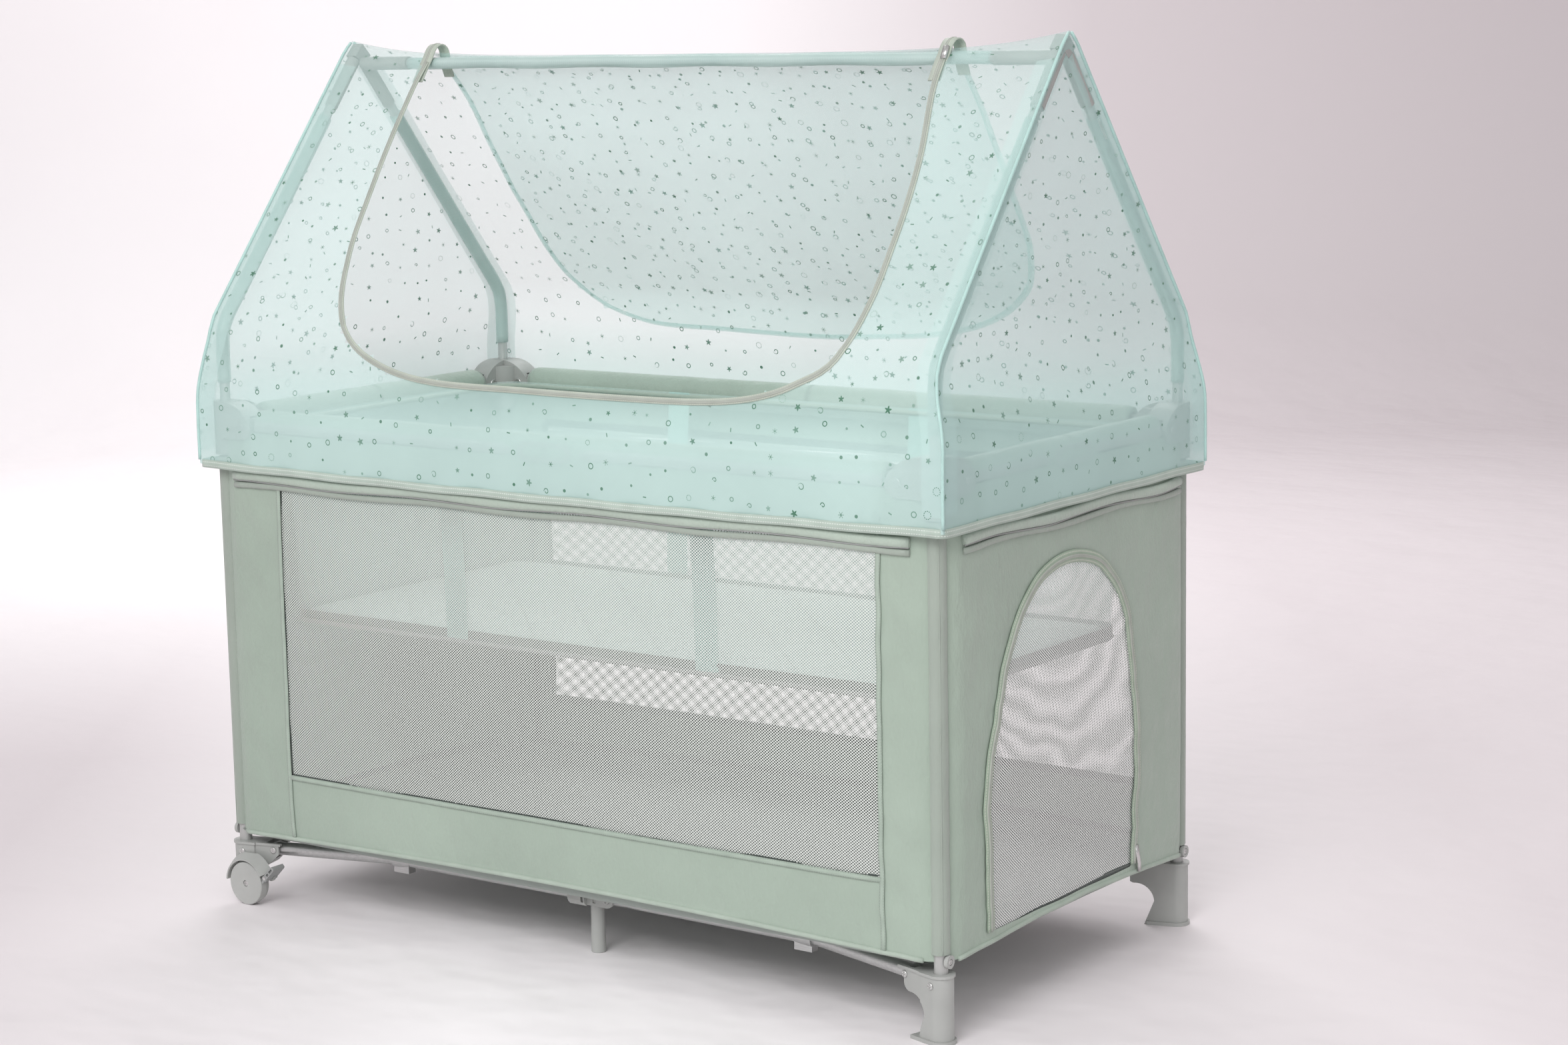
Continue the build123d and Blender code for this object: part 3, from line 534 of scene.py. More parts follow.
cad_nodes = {name: bpy.data.objects[found] if isinstance(found, str) else found
            for name, found in ((n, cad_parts[n]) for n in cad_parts)}
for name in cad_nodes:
    if name.endswith(("_bracket", "_foot", "_housing", "_hood", "_hub", "_knuckle", "_connector")):
        dress(name, grey)
    elif name.endswith(("_lever", "_button")):
        dress(name, grey_dark)
    elif name.endswith("_wheel"):
        dress(name, tread)
    elif name.endswith("_screws"):
        dress(name, zinc)
    elif name.startswith("base_tube"):
        dress(name, bright_tube)
    elif name.endswith("_half") or name.endswith("_post"):
        dress(name, tube_paint)
    elif "pole" in name:
        dress(name, white_pole)


# ---------------------------------------------------------------- canopy

# Height and depth of the front of the canopy at the end poles, and how far along the cloth each is
PROFILE = [(0.3290, 0.6420), (0.3292, 0.690), (0.3285, 0.728), (0.3262, 0.756), (0.3205, 0.800),
           (0.3130, 0.832), (0.3040, 0.852), (0.2450, 0.9267), (0.1500, 1.0470), (0.0700, 1.1485),
           (0.0160, 1.2170), (0.0, 1.2310)]
LENGTHS = [0.0]
for low, high in zip(PROFILE, PROFILE[1:]):
    LENGTHS.append(LENGTHS[-1] + math.hypot(high[0] - low[0], high[1] - low[1]))
SKIRT_TO_RIDGE = LENGTHS[-1]


def profile_at(s):
    """(depth, height) at a length s up the cloth from the hem."""
    s = max(0.0, min(SKIRT_TO_RIDGE, s))
    for i in range(len(PROFILE) - 1):
        if s <= LENGTHS[i + 1]:
            t = (s - LENGTHS[i]) / (LENGTHS[i + 1] - LENGTHS[i])
            return tuple(a + (b - a) * t for a, b in zip(PROFILE[i], PROFILE[i + 1]))
    return PROFILE[-1]


def length_at(z):
    """Length up the cloth at a height."""
    for i in range(len(PROFILE) - 1):
        if z <= PROFILE[i + 1][1]:
            t = (z - PROFILE[i][1]) / (PROFILE[i + 1][1] - PROFILE[i][1])
            return LENGTHS[i] + (LENGTHS[i + 1] - LENGTHS[i]) * t
    return SKIRT_TO_RIDGE


def end_x(z):
    """Half length of the canopy at a height."""
    share = max(0.0, min(1.0, (z - 0.735) / (KINK_Z - 0.735)))
    return 0.6275 - 0.0165 * share * share * (3 - 2 * share)


def cloth_point(x, s):
    """A point of the canopy: s runs from the front hem (0) over the ridge to the rear hem."""
    rear = s > SKIRT_TO_RIDGE
    way = 2 * SKIRT_TO_RIDGE - s if rear else s
    y, z = profile_at(way)
    limit = end_x(z)
    x = max(-limit, min(limit, x))
    middle = max(0.0, 1 - (x / limit) ** 2)
    up = way / SKIRT_TO_RIDGE
    belly = math.sin(math.pi * min(1.0, max(0.0, (up - 0.13) / 0.87))) ** 0.8
    sag = middle ** 0.8 * belly
    y -= 0.020 * sag
    z -= 0.012 * sag + 0.0255 * (1 - (abs(x) / limit) ** 5) * max(0.0, min(1.0, (up - 0.80) / 0.20)) ** 1.5
    waves = ripple(x, s, 3.0 if rear else 1.0, 5.0)
    room = min(1.0, (limit - abs(x)) * 14)
    y += 0.0045 * waves * room * min(1.0, max(0.0, (up - 0.12) * 6))
    if up < 0.10:
        y += 0.0012 * math.sin(x * 70) * (1 - up * 10)
    return Vector((x, y if rear else -y, z))


OPENING = [(-0.452, 1.214), (-0.450, 1.155), (-0.442, 1.053), (-0.430, 0.964), (-0.401, 0.892),
           (-0.350, 0.834), (-0.284, 0.800), (-0.188, 0.783), (-0.038, 0.781), (0.108, 0.780),
           (0.258, 0.782), (0.345, 0.792), (0.405, 0.812), (0.457, 0.845), (0.475, 0.913), (0.472, 0.985),
           (0.460, 1.078), (0.441, 1.164), (0.435, 1.214)]
opening_line = [(p.x, p.y) for p in smooth_line([(x, length_at(z), 0) for x, z in OPENING], 0.012)]
opening_loop = opening_line + [(0.435, SKIRT_TO_RIDGE), (-0.452, SKIRT_TO_RIDGE)]
CELL = 0.0135


def snap_opening(x, s):
    if s > SKIRT_TO_RIDGE:
        return x, s
    where, distance = nearest_on(opening_line, x, s)
    return where if distance < CELL * 0.5 else (x, s)


across = steps(-0.6275, 0.6275, 93)
up_values = steps(0, 2 * SKIRT_TO_RIDGE, 104, SKIRT_TO_RIDGE)
cover = grid("canopy_net_sheet", cloth_point, across, up_values, canopy_net,
             keep=lambda x, s: s > SKIRT_TO_RIDGE or not inside(opening_loop, x, s), snap=snap_opening)


def gable_point(side):
    def place(t, s):
        y, z = profile_at(s)
        x = end_x(z)
        middle = 1 - t * t
        rise = math.sin(math.pi * min(1.0, max(0.0, (s / SKIRT_TO_RIDGE - 0.12) / 0.88)))
        x -= 0.010 * middle * rise
        x += 0.003 * ripple(t * y, s, 7.0 + side, 6.0) * middle * min(1, rise * 3)
        return Vector((side * x, t * y, z))
    return place


gables = []
for side, name in ((-1, "left"), (1, "right")):
    gables.append(grid(f"canopy_gable_{name}", gable_point(side), steps(-1, 1, 44),
                       steps(0, SKIRT_TO_RIDGE, 60), gable_net,
                       uv=lambda t, s: (t * profile_at(s)[0] + 0.4, s + 1.3)))

zip_path = [cloth_point(x, s) + Vector((0, -0.0010, 0.0006)) for x, s in opening_line]
slope_out = Vector((0, -0.78, 0.62))
zip_normals = [slope_out if p.z > 0.85 else Vector((0, -1, 0.25)) for p in zip_path]
canopy_trim = []


def sew(*strip, closed=False):
    """Sew a strip or a cord onto the canopy."""
    canopy_trim.append(sweep(*strip, closed=closed))


coil_profile = flat_profile(0.0022, 0.0011)
sew("canopy_zip_tape", zip_path, flat_profile(0.0044, 0.0011), zip_tape, zip_normals)
coil_path = [p + n * 0.0012 for p, n in zip(zip_path, zip_normals)]
sew("canopy_zip_coil", coil_path, coil_profile, coil, zip_normals)
for side, name in ((-1, "left"), (1, "right")):
    for face, end in ((-1, "front"), (1, "rear")):
        edge = []
        for s in steps(0.006, SKIRT_TO_RIDGE - 0.004, 60):
            p = gable_point(side)(face, s)
            edge.append(p + Vector((side * 0.0002, face * 0.0002, 0)))
        sew(f"canopy_edge_{name}_{end}", edge, round_profile(0.0022, 8), mint_tape,
            Vector((side, face, 0.4)))

# A second layer of net along the slanted and upright edges, the channels for the poles
for side, name in ((-1, "left"), (1, "right")):
    for face, end in ((-1, "front"), (1, "rear")):
        def channel_point(w, s, side=side, face=face):
            y, z = profile_at(s)
            p = gable_point(side)(face * max(0.0, 1 - w * 0.034 / max(y, 0.034)), s)
            return p - Vector((side * 0.0012, 0, 0))

        def slope_point(w, s, side=side, face=face):
            x = side * (end_x(profile_at(s)[1]) - 0.001 - w * 0.030)
            over = s if face < 0 else 2 * SKIRT_TO_RIDGE - s
            return cloth_point(x, over) - Vector((0, face * 0.0010, 0.0006))

        for label, place in (("end", channel_point), ("side", slope_point)):
            canopy_trim.append(grid(f"canopy_channel_{label}_{name}_{end}", place, steps(0, 1, 4),
                                    steps(0.02, SKIRT_TO_RIDGE - 0.045, 50), channel_net,
                                    uv=lambda w, s: (w * 0.03, s)))

# Hem binding round the bottom edge
hem = []
ring_x, ring_y, corner = 0.6285, 0.3300, 0.012
for cx, cy, start in ((1, -1, -90), (1, 1, 0), (-1, 1, 90), (-1, -1, 180)):
    centre = Vector((cx * (ring_x - corner), cy * (ring_y - corner), 0.6425))
    for k in range(7):
        a = math.radians(start + 15 * k)
        hem.append(centre + Vector((corner * math.cos(a), corner * math.sin(a), 0)))
hem_points, hem_normals = [], []
for i, p in enumerate(hem):
    q = hem[(i + 1) % len(hem)]
    count = max(1, int((q - p).length / 0.012))
    for k in range(count):
        point = p.lerp(q, k / count)
        sag = 0.004 * max(0, 1 - (point.x / 0.6) ** 2) * (1 if point.y < 0 else 0.5)
        point.z += 0.0005 * math.sin(point.x * 37 + point.y * 41) - sag
        hem_points.append(point)
        hem_normals.append(Vector((point.x / abs(ring_x) if abs(point.x) > 0.61 else 0,
                                   point.y / ring_y if abs(point.y) > 0.31 else 0, 0)))
sew("canopy_hem", hem_points, flat_profile(0.0058, 0.0010), hem_tape, hem_normals, closed=True)

# Sleeves sewn round the canopy poles, leaving the bare stub above each bracket
for cx, name_x in ((-1, "left"), (1, "right")):
    for cy, name_y in ((-1, "front"), (1, "rear")):
        bends = ((HALF_Y, 0.757), (HALF_Y, 0.80), (HALF_Y - 0.002, 0.828), (0.288, 0.8515), (0.24, 0.912),
                 (0.15, 1.026), (0.075, 1.121))
        path = smooth_line([(cx * HALF_X, cy * y, z) for y, z in bends], 0.012)
        sew(f"canopy_sleeve_{name_y}_{name_x}", path, round_profile(0.0104, 16, 0.84), sleeve_net,
            Vector((cx, 0, 0)))
path = [(x, 0, 1.1978 + 0.0008 * math.sin(x * 31)) for x in steps(-0.497, 0.497, 60)]
sew("canopy_ridge_sleeve", path, round_profile(0.0088, 14), sleeve_net, Vector((0, 0, 1)))

# The unzipped panel thrown back over the ridge onto the rear slope
FLAP = [(-0.452, 1.2142), (-0.449, 1.150), (-0.455, 1.056), (-0.458, 0.908), (-0.430, 0.845), (-0.350, 0.806),
        (-0.236, 0.796), (0.068, 0.794), (0.271, 0.818), (0.372, 0.872), (0.412, 0.934), (0.424, 1.0),
        (0.430, 1.10), (0.435, 1.214)]
flap_corners = [(x, 2 * SKIRT_TO_RIDGE - length_at(z), 0) for x, z in FLAP]
flap_line = [(p.x, p.y) for p in smooth_line(flap_corners, 0.012)]
flap_loop = flap_line + [(0.435, SKIRT_TO_RIDGE - 0.01), (-0.452, SKIRT_TO_RIDGE - 0.01)]


def flap_point(x, s):
    p = cloth_point(x, s)
    fall = max(0.0, (s - SKIRT_TO_RIDGE) / SKIRT_TO_RIDGE)
    lift = 0.0030 + 0.004 * abs(ripple(x, s, 9.0, 4.0)) * min(1.0, fall * 5)
    return p + Vector((0, 0.78 * lift, 0.62 * lift))


def snap_flap(x, s):
    where, distance = nearest_on(flap_line, x, s)
    return where if distance < CELL * 0.5 else (x, s)


flap = grid("canopy_flap_sheet", flap_point, steps(-0.47, 0.45, 68),
            steps(SKIRT_TO_RIDGE, 2 * SKIRT_TO_RIDGE - 0.12, 52), flap_net,
            uv=lambda x, s: (x + 0.37, s + 2.2), keep=lambda x, s: inside(flap_loop, x, s), snap=snap_flap)
flap_edge = [flap_point(x, s) + Vector((0, 0.001, 0.001)) for x, s in flap_line]
sew("canopy_flap_tape", flap_edge, flat_profile(0.005, 0.0004), flap_hem, Vector((0, 0.78, 0.62)))
for x in (-0.452, 0.435):
    label = "left" if x < 0 else "right"
    base = cloth_point(x, SKIRT_TO_RIDGE)
    loop = [(-0.034, -0.040), (-0.020, -0.020), (-0.011, -0.006), (-0.006, 0.004), (0.0, 0.0105),
            (0.008, 0.0120), (0.015, 0.007), (0.018, -0.002), (0.020, -0.018), (0.026, -0.034)]
    fold = [Vector((x + 0.004 * math.sin(y * 60), base.y + y, base.z + z)) for y, z in loop]
    fold = smooth_line(fold, 0.003)
    outward = [(fold[min(i + 1, len(fold) - 1)] - fold[max(i - 1, 0)]).cross(Vector((-1, 0, 0)))
               for i in range(len(fold))]
    sew(f"canopy_zip_fold_{label}", fold, flat_profile(0.0095, 0.0016), zip_tape, outward)
    fold_coil = [p + n.normalized() * 0.0016 for p, n in zip(fold, outward)]
    sew(f"canopy_zip_fold_coil_{label}", fold_coil, coil_profile, coil, outward)
slider = [Vector((0.4365, -0.012, 1.2135)), Vector((0.4365, -0.016, 1.2065)), Vector((0.4365, -0.021, 1.198))]
sew("canopy_zip_slider", slider, flat_profile(0.0042, 0.0022), zinc, slope_out)
for piece in [cover, flap] + gables + canopy_trim:
    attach(piece, "canopy")
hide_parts("canopy_cover")
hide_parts("canopy_flap")


# ---------------------------------------------------------------- cloth walls

LONG_END, SHORT_END = 0.555, 0.262         # from here on the cloth stays with the far post


def fold_with(pieces, body, axis):
    """Ride a corner: attach each piece to the body and give it a mesh of its own."""
    for piece in pieces:
        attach(piece, body)
        if axis == "x":
            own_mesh(piece)
        else:
            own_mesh(piece)


def hem_height(x):
    """Height of the lower edge along a long wall."""
    return HEM_Z + 0.011 * (1 - (x / 0.59) ** 2)


def end_hem_rise(y):
    """How far the lower edge rises above its corners along an end wall."""
    return 0.012 * max(0.0, 1 - (y / 0.29) ** 2)


def belly(z):
    """How far a wall stands out at a height, so that the folded rails have room behind it."""
    return 0.0085 * max(0.0, math.sin(math.pi * min(1.0, max(0.0, (z - 0.1) / 0.58)))) ** 0.38


def long_wall_point(sign):
    """x along the wall and z up; the ends wrap inwards behind the posts."""
    def place(x, z):
        z = max(z, hem_height(max(-0.588, min(0.588, x)))) if z < 0.13 else z
        y = WALL_Y
        over = abs(x) - 0.572
        if over > 0:
            y -= 0.0068 * (over / 0.028) ** 2
            x = math.copysign(0.572 + over * 0.79, x)
        pull = min(1.0, max(0.0, 1 - (abs(x) - 0.46) / 0.14)) if abs(x) > 0.46 else 1.0
        y += 0.0016 * ripple(x * 0.8, z, 11.0 + sign, 7.0) * pull
        y += 0.0012 * math.sin((x + z * 0.9) * 95) * (1 if 0.51 < abs(x) < 0.575 else 0) * math.sin(z * 9)
        y += belly(z) * (1 - (x / 0.6) ** 6)
        return Vector((x, sign * y, z))
    return place


def window_frame(place, name, low_x, high_x, low_z, sign, tape_material, width):
    """Two upright seams over the whole wall and one under the window, as the panels are sewn together."""
    lines = [[(low_x, z) for z in steps(0.108, 0.655, 40)], [(high_x, z) for z in steps(0.108, 0.655, 40)],
             [(x, low_z) for x in steps(low_x, high_x, 60)]]
    pieces = []
    for i, line in enumerate(lines):
        path = [place(x, z) + Vector((0, sign * 0.0012, 0)) for x, z in line]
        pieces.append(sweep(f"{name}_{i}", path, flat_profile(width, 0.0007), tape_material,
                            Vector((0, sign, 0))))
    return pieces


def rolls(name, place, out, run, wave, turns):
    """The roll under a rail that hides its zip, with its lower edge and the seam between them."""
    pieces = []
    for z, radius, label, cloth in ((0.6275, 0.0068, "roll_low", roll_cloth),
                                    (0.6150, 0.0042, "roll_edge", sage_smooth)):
        path = [place(t, z + wave * math.sin(t * turns + z * 60)) + out * (radius * 0.5) for t in run]
        pieces.append(sweep(f"{name}_{label}", path, round_profile(radius, 10, 0.7), cloth, out))
    seam = [place(t, 0.6205 + wave * math.sin(t * turns + 38)) + out * 0.0042 for t in run]
    pieces.append(sweep(f"{name}_seam", seam, round_profile(0.0011, 6), grey_dark, out))
    return pieces


inner_profile = flat_profile(0.0055, 0.0007)


def long_wall(sign, body, low_x, high_x, low_z, high_z, name):
    place = long_wall_point(sign)
    out = Vector((0, sign, 0))
    far_body = body.replace("left", "right")
    xs = steps(-0.600, LONG_END, 116, low_x, high_x)
    zs = steps(HEM_Z, 0.690, 60, low_z, high_z, 0.112)
    stay = [grid(f"{name}_end", place, steps(LONG_END, 0.600, 5), zs, sage)]
    cloth = grid(f"{name}_cloth", place, xs, zs, sage,
                 keep=lambda x, z: not (low_x < x < high_x and low_z < z < high_z))
    window = grid(f"{name}_net", lambda x, z: place(x, z) - out * 0.0012,
                  steps(low_x - 0.004, high_x + 0.004, 80), steps(low_z - 0.004, high_z + 0.004, 36), net)
    trim = window_frame(place, f"{name}_binding", low_x, high_x, low_z, sign, seam_tape, 0.0036)
    # Bound seams on the inside: round the window, up both corners and along the floor
    across_low = [(x, hem_height(x) + 0.009) for x in steps(-0.575, 0.575, 60)]
    uprights = ((low_x, low_z, high_z), (high_x, low_z, high_z),
                (-0.5635, 0.115, 0.61), (0.5635, 0.115, 0.61))
    lines = [[(x, z) for x in steps(low_x, high_x, 60)] for z in (low_z, high_z)] + [across_low]
    lines += [[(x, z) for z in steps(low, high, 30)] for x, low, high in uprights]
    for k, line in enumerate(lines):
        path = [place(x, z) - out * 0.0014 for x, z in line]
        seam = sweep(f"{name}_inner_seam_{k}", path, inner_profile, seam_dark, -out)
        (stay if line[0][0] > LONG_END else trim).append(seam)
    hem_path = [place(x, hem_height(x)) + Vector((0, 0, 0.001)) for x in steps(-0.585, 0.585, 90)]
    trim.append(sweep(f"{name}_hem", hem_path, round_profile(0.0034, 8), binding, out))
    trim += rolls(name, place, out, steps(-0.570, 0.572, 90), 0.0015, 21)
    fold_with([cloth, window] + trim, body, "x")
    for piece in stay:
        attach(piece, far_body)
    return cloth, window


front_cloth, front_net = long_wall(-1, "front_left_corner", -0.485, 0.526, 0.200, 0.632, "front_wall")
rear_cloth, rear_net = long_wall(1, "rear_left_corner", -0.530, 0.530, 0.190, 0.632, "rear_wall")
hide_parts("front_wall")
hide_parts("rear_wall")

ARCH = [(-0.217, 0.124), (-0.225, 0.220), (-0.225, 0.314), (-0.200, 0.408), (-0.161, 0.500), (-0.114, 0.547),
        (-0.056, 0.568), (0.002, 0.567), (0.062, 0.545), (0.114, 0.485), (0.134, 0.397), (0.145, 0.277),
        (0.145, 0.126)]
arch_line = [(p.x, p.y) for p in smooth_line([(y, z, 0) for y, z in ARCH], 0.010)]
arch_loop = arch_line + [(0.145, 0.120), (-0.217, 0.120)]


def short_wall_point(sign):
    def place(y, z):
        z = max(z, HEM_Z + 0.012 * (1 - (y / 0.29) ** 2)) if z < 0.13 else z
        x = WALL_X
        over = abs(y) - 0.272
        if over > 0:
            x -= 0.0068 * (over / 0.028) ** 2
            y = math.copysign(0.272 + over * 0.79, y)
        x += (0.0026 * ripple(y * 0.9, z, 15.0 + sign, 8.0)
              + 0.0016 * ripple(y * 0.45, z * 1.7, 17.0 + sign, 18.0)) * min(1.0, (0.30 - abs(y)) * 20)
        x += 0.0016 * math.sin((y * 0.6 + z) * 60) * max(0.0, (z - 0.56) * 8) * (1 if abs(y) < 0.26 else 0.3)
        x += 1.1 * belly(z) * (1 - (y / 0.3) ** 6)
        return Vector((sign * x, y, z))
    return place


def short_wall(sign, body, name, door):
    place = short_wall_point(sign)
    ys = steps(-0.300, SHORT_END, 58)
    zs = steps(HEM_Z, 0.690, 62)
    size = 0.0096
    out = Vector((sign, 0, 0))

    def snap(y, z):
        where, distance = nearest_on(arch_line, y, z)
        return where if distance < size * 0.5 else (y, z)

    cloth = grid(f"{name}_cloth", place, ys, zs, sage, snap=snap if door else None,
                 keep=(lambda y, z: not inside(arch_loop, y, z)) if door else None)
    end = grid(f"{name}_end", place, steps(SHORT_END, 0.300, 5), zs, sage)
    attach(end, body.replace("front", "rear"))
    pieces = [cloth]
    if door:
        window = grid(f"{name}_net", lambda y, z: place(y, z) - out * 0.0012,
                      steps(-0.24, 0.16, 42), steps(0.110, 0.580, 48), lit_door_net, snap=snap,
                      keep=lambda y, z: inside(arch_loop, y, z) or (z < 0.124 and -0.217 < y < 0.145))
        pieces.append(window)
        path = [place(y, z) + out * 0.0016 for y, z in arch_line]
        pieces.append(sweep(f"{name}_door_tape", path, flat_profile(0.0085, 0.0010), door_tape, out))
        coil_path = [p + out * 0.0013 for p in path]
        pieces.append(sweep(f"{name}_door_coil", coil_path, flat_profile(0.0022, 0.0012), coil, out))
        end = place(0.149, 0.138)
        drops = ((0.0024, 0.0, 0.012), (0.0034, 0.001, 0.0), (0.0040, 0.004, -0.012), (0.0034, 0.006, -0.024))
        pull = [end + Vector((sign * d, w, z)) for d, w, z in drops]
        pieces.append(sweep(f"{name}_door_slider", pull, flat_profile(0.0038, 0.0020), zinc, out))
    low_seam = [place(y, HEM_Z + 0.009 + end_hem_rise(y)) - out * 0.0014 for y in steps(-0.280, 0.280, 40)]
    pieces.append(sweep(f"{name}_inner_seam", low_seam, inner_profile, seam_dark, -out))
    hem_path = [place(y, HEM_Z) for y in steps(-0.285, 0.285, 50)]
    pieces.append(sweep(f"{name}_hem", hem_path, round_profile(0.0034, 8), binding, out))
    pieces += rolls(name, place, out, steps(-0.272, 0.272, 50), 0.002, 24)
    fold_with(pieces, body, "y")
    return pieces


right_pieces = short_wall(1, "front_right_corner", "right_wall", True)
left_pieces = short_wall(-1, "front_left_corner", "left_wall", False)
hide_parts("right_wall")
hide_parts("left_wall")

# Sleeves round the corner posts
corners = {"front_left_corner": (-1, -1), "front_right_corner": (1, -1),
           "rear_right_corner": (1, 1), "rear_left_corner": (-1, 1)}
for body, (cx, cy) in corners.items():
    outward = Vector((cx, cy, 0))
    heights = [0.114 + (0.652 - 0.114) * k / 60 for k in range(61)]
    path = [(cx * (HALF_X + 0.0003), cy * (HALF_Y + 0.0003), z) for z in heights]
    sleeve = sweep(f"post_sleeve_{body}", path, round_profile(0.0118, 20), sage_smooth, outward, caps=False)
    for vertex in sleeve.data.vertices:
        p = vertex.co
        out = Vector((p.x - cx * HALF_X, p.y - cy * HALF_Y, 0)).normalized()
        vertex.co = p + out * 0.0006 * ripple(p.x * 3 + p.y * 3, p.z, 21.0 + cx + 2 * cy, 22.0)
    seam = [(cx * (HALF_X + 0.0085), cy * (HALF_Y + 0.0085), p[2]) for p in path]
    ridge = sweep(f"post_seam_{body}", seam, round_profile(0.0009, 6), sage_smooth, outward)
    for piece in (sleeve, ridge):
        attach(piece, body)


# ---------------------------------------------------------------- padded cloth round the top rails

def rail_cover(name, start, end, hinge, past):
    """A padded roll from a bracket to the middle of the rail."""
    start, end = Vector(start), Vector(end)
    along = (end - start).normalized()
    side = along.cross(Vector((0, 0, 1)))
    if abs(along.x) > 0.5:
        outward = Vector((0, math.copysign(1, start.y), 0))
    else:
        outward = Vector((math.copysign(1, start.x), 0, 0))
    count = max(20, int((end - start).length / 0.009))
    points, uvs, faces = [], [], []
    sides = 28
    length = (end - start).length
    for i in range(count + 1):
        t = i / count
        centre = start.lerp(end, t)
        tuck = min(1.0, (t * length) / 0.010)
        for k in range(sides):
            a = 2 * math.pi * k / sides
            radius = PAD_R * (0.90 + 0.10 * math.sqrt(tuck))
            radius += 0.0007 * ripple(t * length * 1.2, a * 0.06, 31.0 + len(name), 14.0)
            radius -= 0.0012 * math.exp(-((a - math.pi * 1.5) / 0.06) ** 2)
            offset = side * math.cos(a) * radius + Vector((0, 0, 1)) * math.sin(a) * radius
            # Flat where the wall lies against it, fuller near the knuckle
            flat = 0.0125 + 0.0045 * max(0.0, min(1.0, 1.6 - (1 - t) * length / 0.045))
            offset -= outward * max(0.0, offset.dot(outward)) * (1 - flat / PAD_R)
            points.append(centre + offset)
            uvs.append((t * length, a * PAD_R))
    for i in range(count):
        for k in range(sides):
            a, b = i * sides + k, i * sides + (k + 1) % sides
            faces.append((a, b, b + sides, a + sides))
    inner = []
    for i, direction in ((0, 1), (count, -1)):
        for k in range(sides):
            p = Vector(points[i * sides + k])
            centre = start.lerp(end, i / count)
            inner.append(len(points))
            points.append(centre + (p - centre) * 0.70 + along * 0.0015 * direction)
            uvs.append((i * 0.01, k * 0.005))
        base = inner[-sides]
        for k in range(sides):
            a, b = i * sides + k, i * sides + (k + 1) % sides
            c, d = base + (k + 1) % sides, base + k
            faces.append((a, d, c, b) if direction > 0 else (a, b, c, d))
    piece = make(name, points, faces, uvs, sage_roll)
    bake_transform(piece)
    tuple(hinge)
    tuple(past)
    return piece


# Each cover runs from its bracket to the middle of the rail
for long_side, names, ends, reach in ((True, ("front", "rear"), ("left", "right"), 0.534),
                                      (False, ("left", "right"), ("front", "rear"), 0.235)):
    for side, name in zip((-1, 1), names):
        for way, end in zip((-1, 1), ends):
            start, middle, hinge, past = [
                (way * d, side * HALF_Y, RAIL_Z) if long_side else (side * HALF_X, way * d, RAIL_Z)
                for d in (reach, 0.0004, 0.050, 0.020)]
            rail_cover(f"{name}_rail_cover_{end}", start, middle,
                       hinge, past)


# ---------------------------------------------------------------- bassinet and mattress

TOP, BOTTOM = 0.702, 0.4115


def tub_half(z):
    """Share of the bassinet's height, and its half length and half width there."""
    share = (z - BOTTOM) / (TOP - BOTTOM)
    return share, 0.543 + (0.5645 - 0.543) * share - 0.003, 0.250 + (0.2655 - 0.250) * share - 0.003


def tub_point(t, z):
    """Round the bassinet: t is the length along its rim, from the front left corner."""
    share, hx, hy = tub_half(z)
    r = 0.03
    lengths = [2 * (hx - r), math.pi * r / 2, 2 * (hy - r), math.pi * r / 2] * 2
    total = sum(lengths)
    d = (t % 1.0) * total
    # The start and direction of each straight side, or the centre of a corner
    spots = [((-hx + r, -hy), (1, 0)), ((hx - r, -hy + r), None),
             ((hx, -hy + r), (0, 1)), ((hx - r, hy - r), None),
             ((hx - r, hy), (-1, 0)), ((-hx + r, hy - r), None),
             ((-hx, hy - r), (0, -1)), ((-hx + r, -hy + r), None)]
    turn = -90
    for length, (spot, way) in zip(lengths, spots):
        if d <= length:
            if way:
                p, out = Vector((spot[0] + way[0] * d, spot[1] + way[1] * d, z)), Vector((way[1], -way[0], 0))
            else:
                a = math.radians(turn + 90 * d / length)
                out = Vector((math.cos(a), math.sin(a), 0))
                p = Vector((spot[0], spot[1], z)) + out * r
            break
        d -= length
        turn += 0 if way else 90
    soft = math.sin(math.pi * share)
    waves = ripple((t % 1.0) * total * 0.9, z * 0.35, 41.0, 12.0)
    return p - out * soft * (0.006 + 0.006 * waves)


def tub_out(t):
    """Level direction out of the bassinet's side."""
    a, b = tub_point(t - 0.002, 0.5), tub_point(t + 0.002, 0.5)
    return (b - a).cross(Vector((0, 0, 1))).normalized()


def tub_uv(t, z):
    return (t * 3.2, z)


tub = grid("bassinet_side", tub_point, [k / 260 for k in range(261)], steps(BOTTOM, TOP, 22), bassinet_net,
           uv=tub_uv)
tub_parts = [tub]
for x in (-0.222, 0.209):
    for sy in (-1, 1):
        def band_point(u, z, x=x, sy=sy):
            share, _, hy = tub_half(z)
            soft = math.sin(math.pi * share)
            return Vector((x + u, sy * (hy - soft * 0.004 + 0.0018), z))
        tub_parts.append(grid(f"bassinet_band_{'l' if x < 0 else 'r'}_{'f' if sy < 0 else 'b'}", band_point,
                              steps(-0.019, 0.019, 6), steps(BOTTOM, TOP, 18), bassinet_band))
for z, radius, label, cloth in ((BOTTOM + 0.001, 0.0040, "piping_low", grey_dark),
                                (TOP - 0.006, 0.0034, "rim", sage_roll)):
    path = [tub_point(k / 200, z) for k in range(200)]
    tub_parts.append(sweep(f"bassinet_{label}", path, round_profile(radius, 8), cloth,
                           Vector((0, 0, 1)), closed=True))
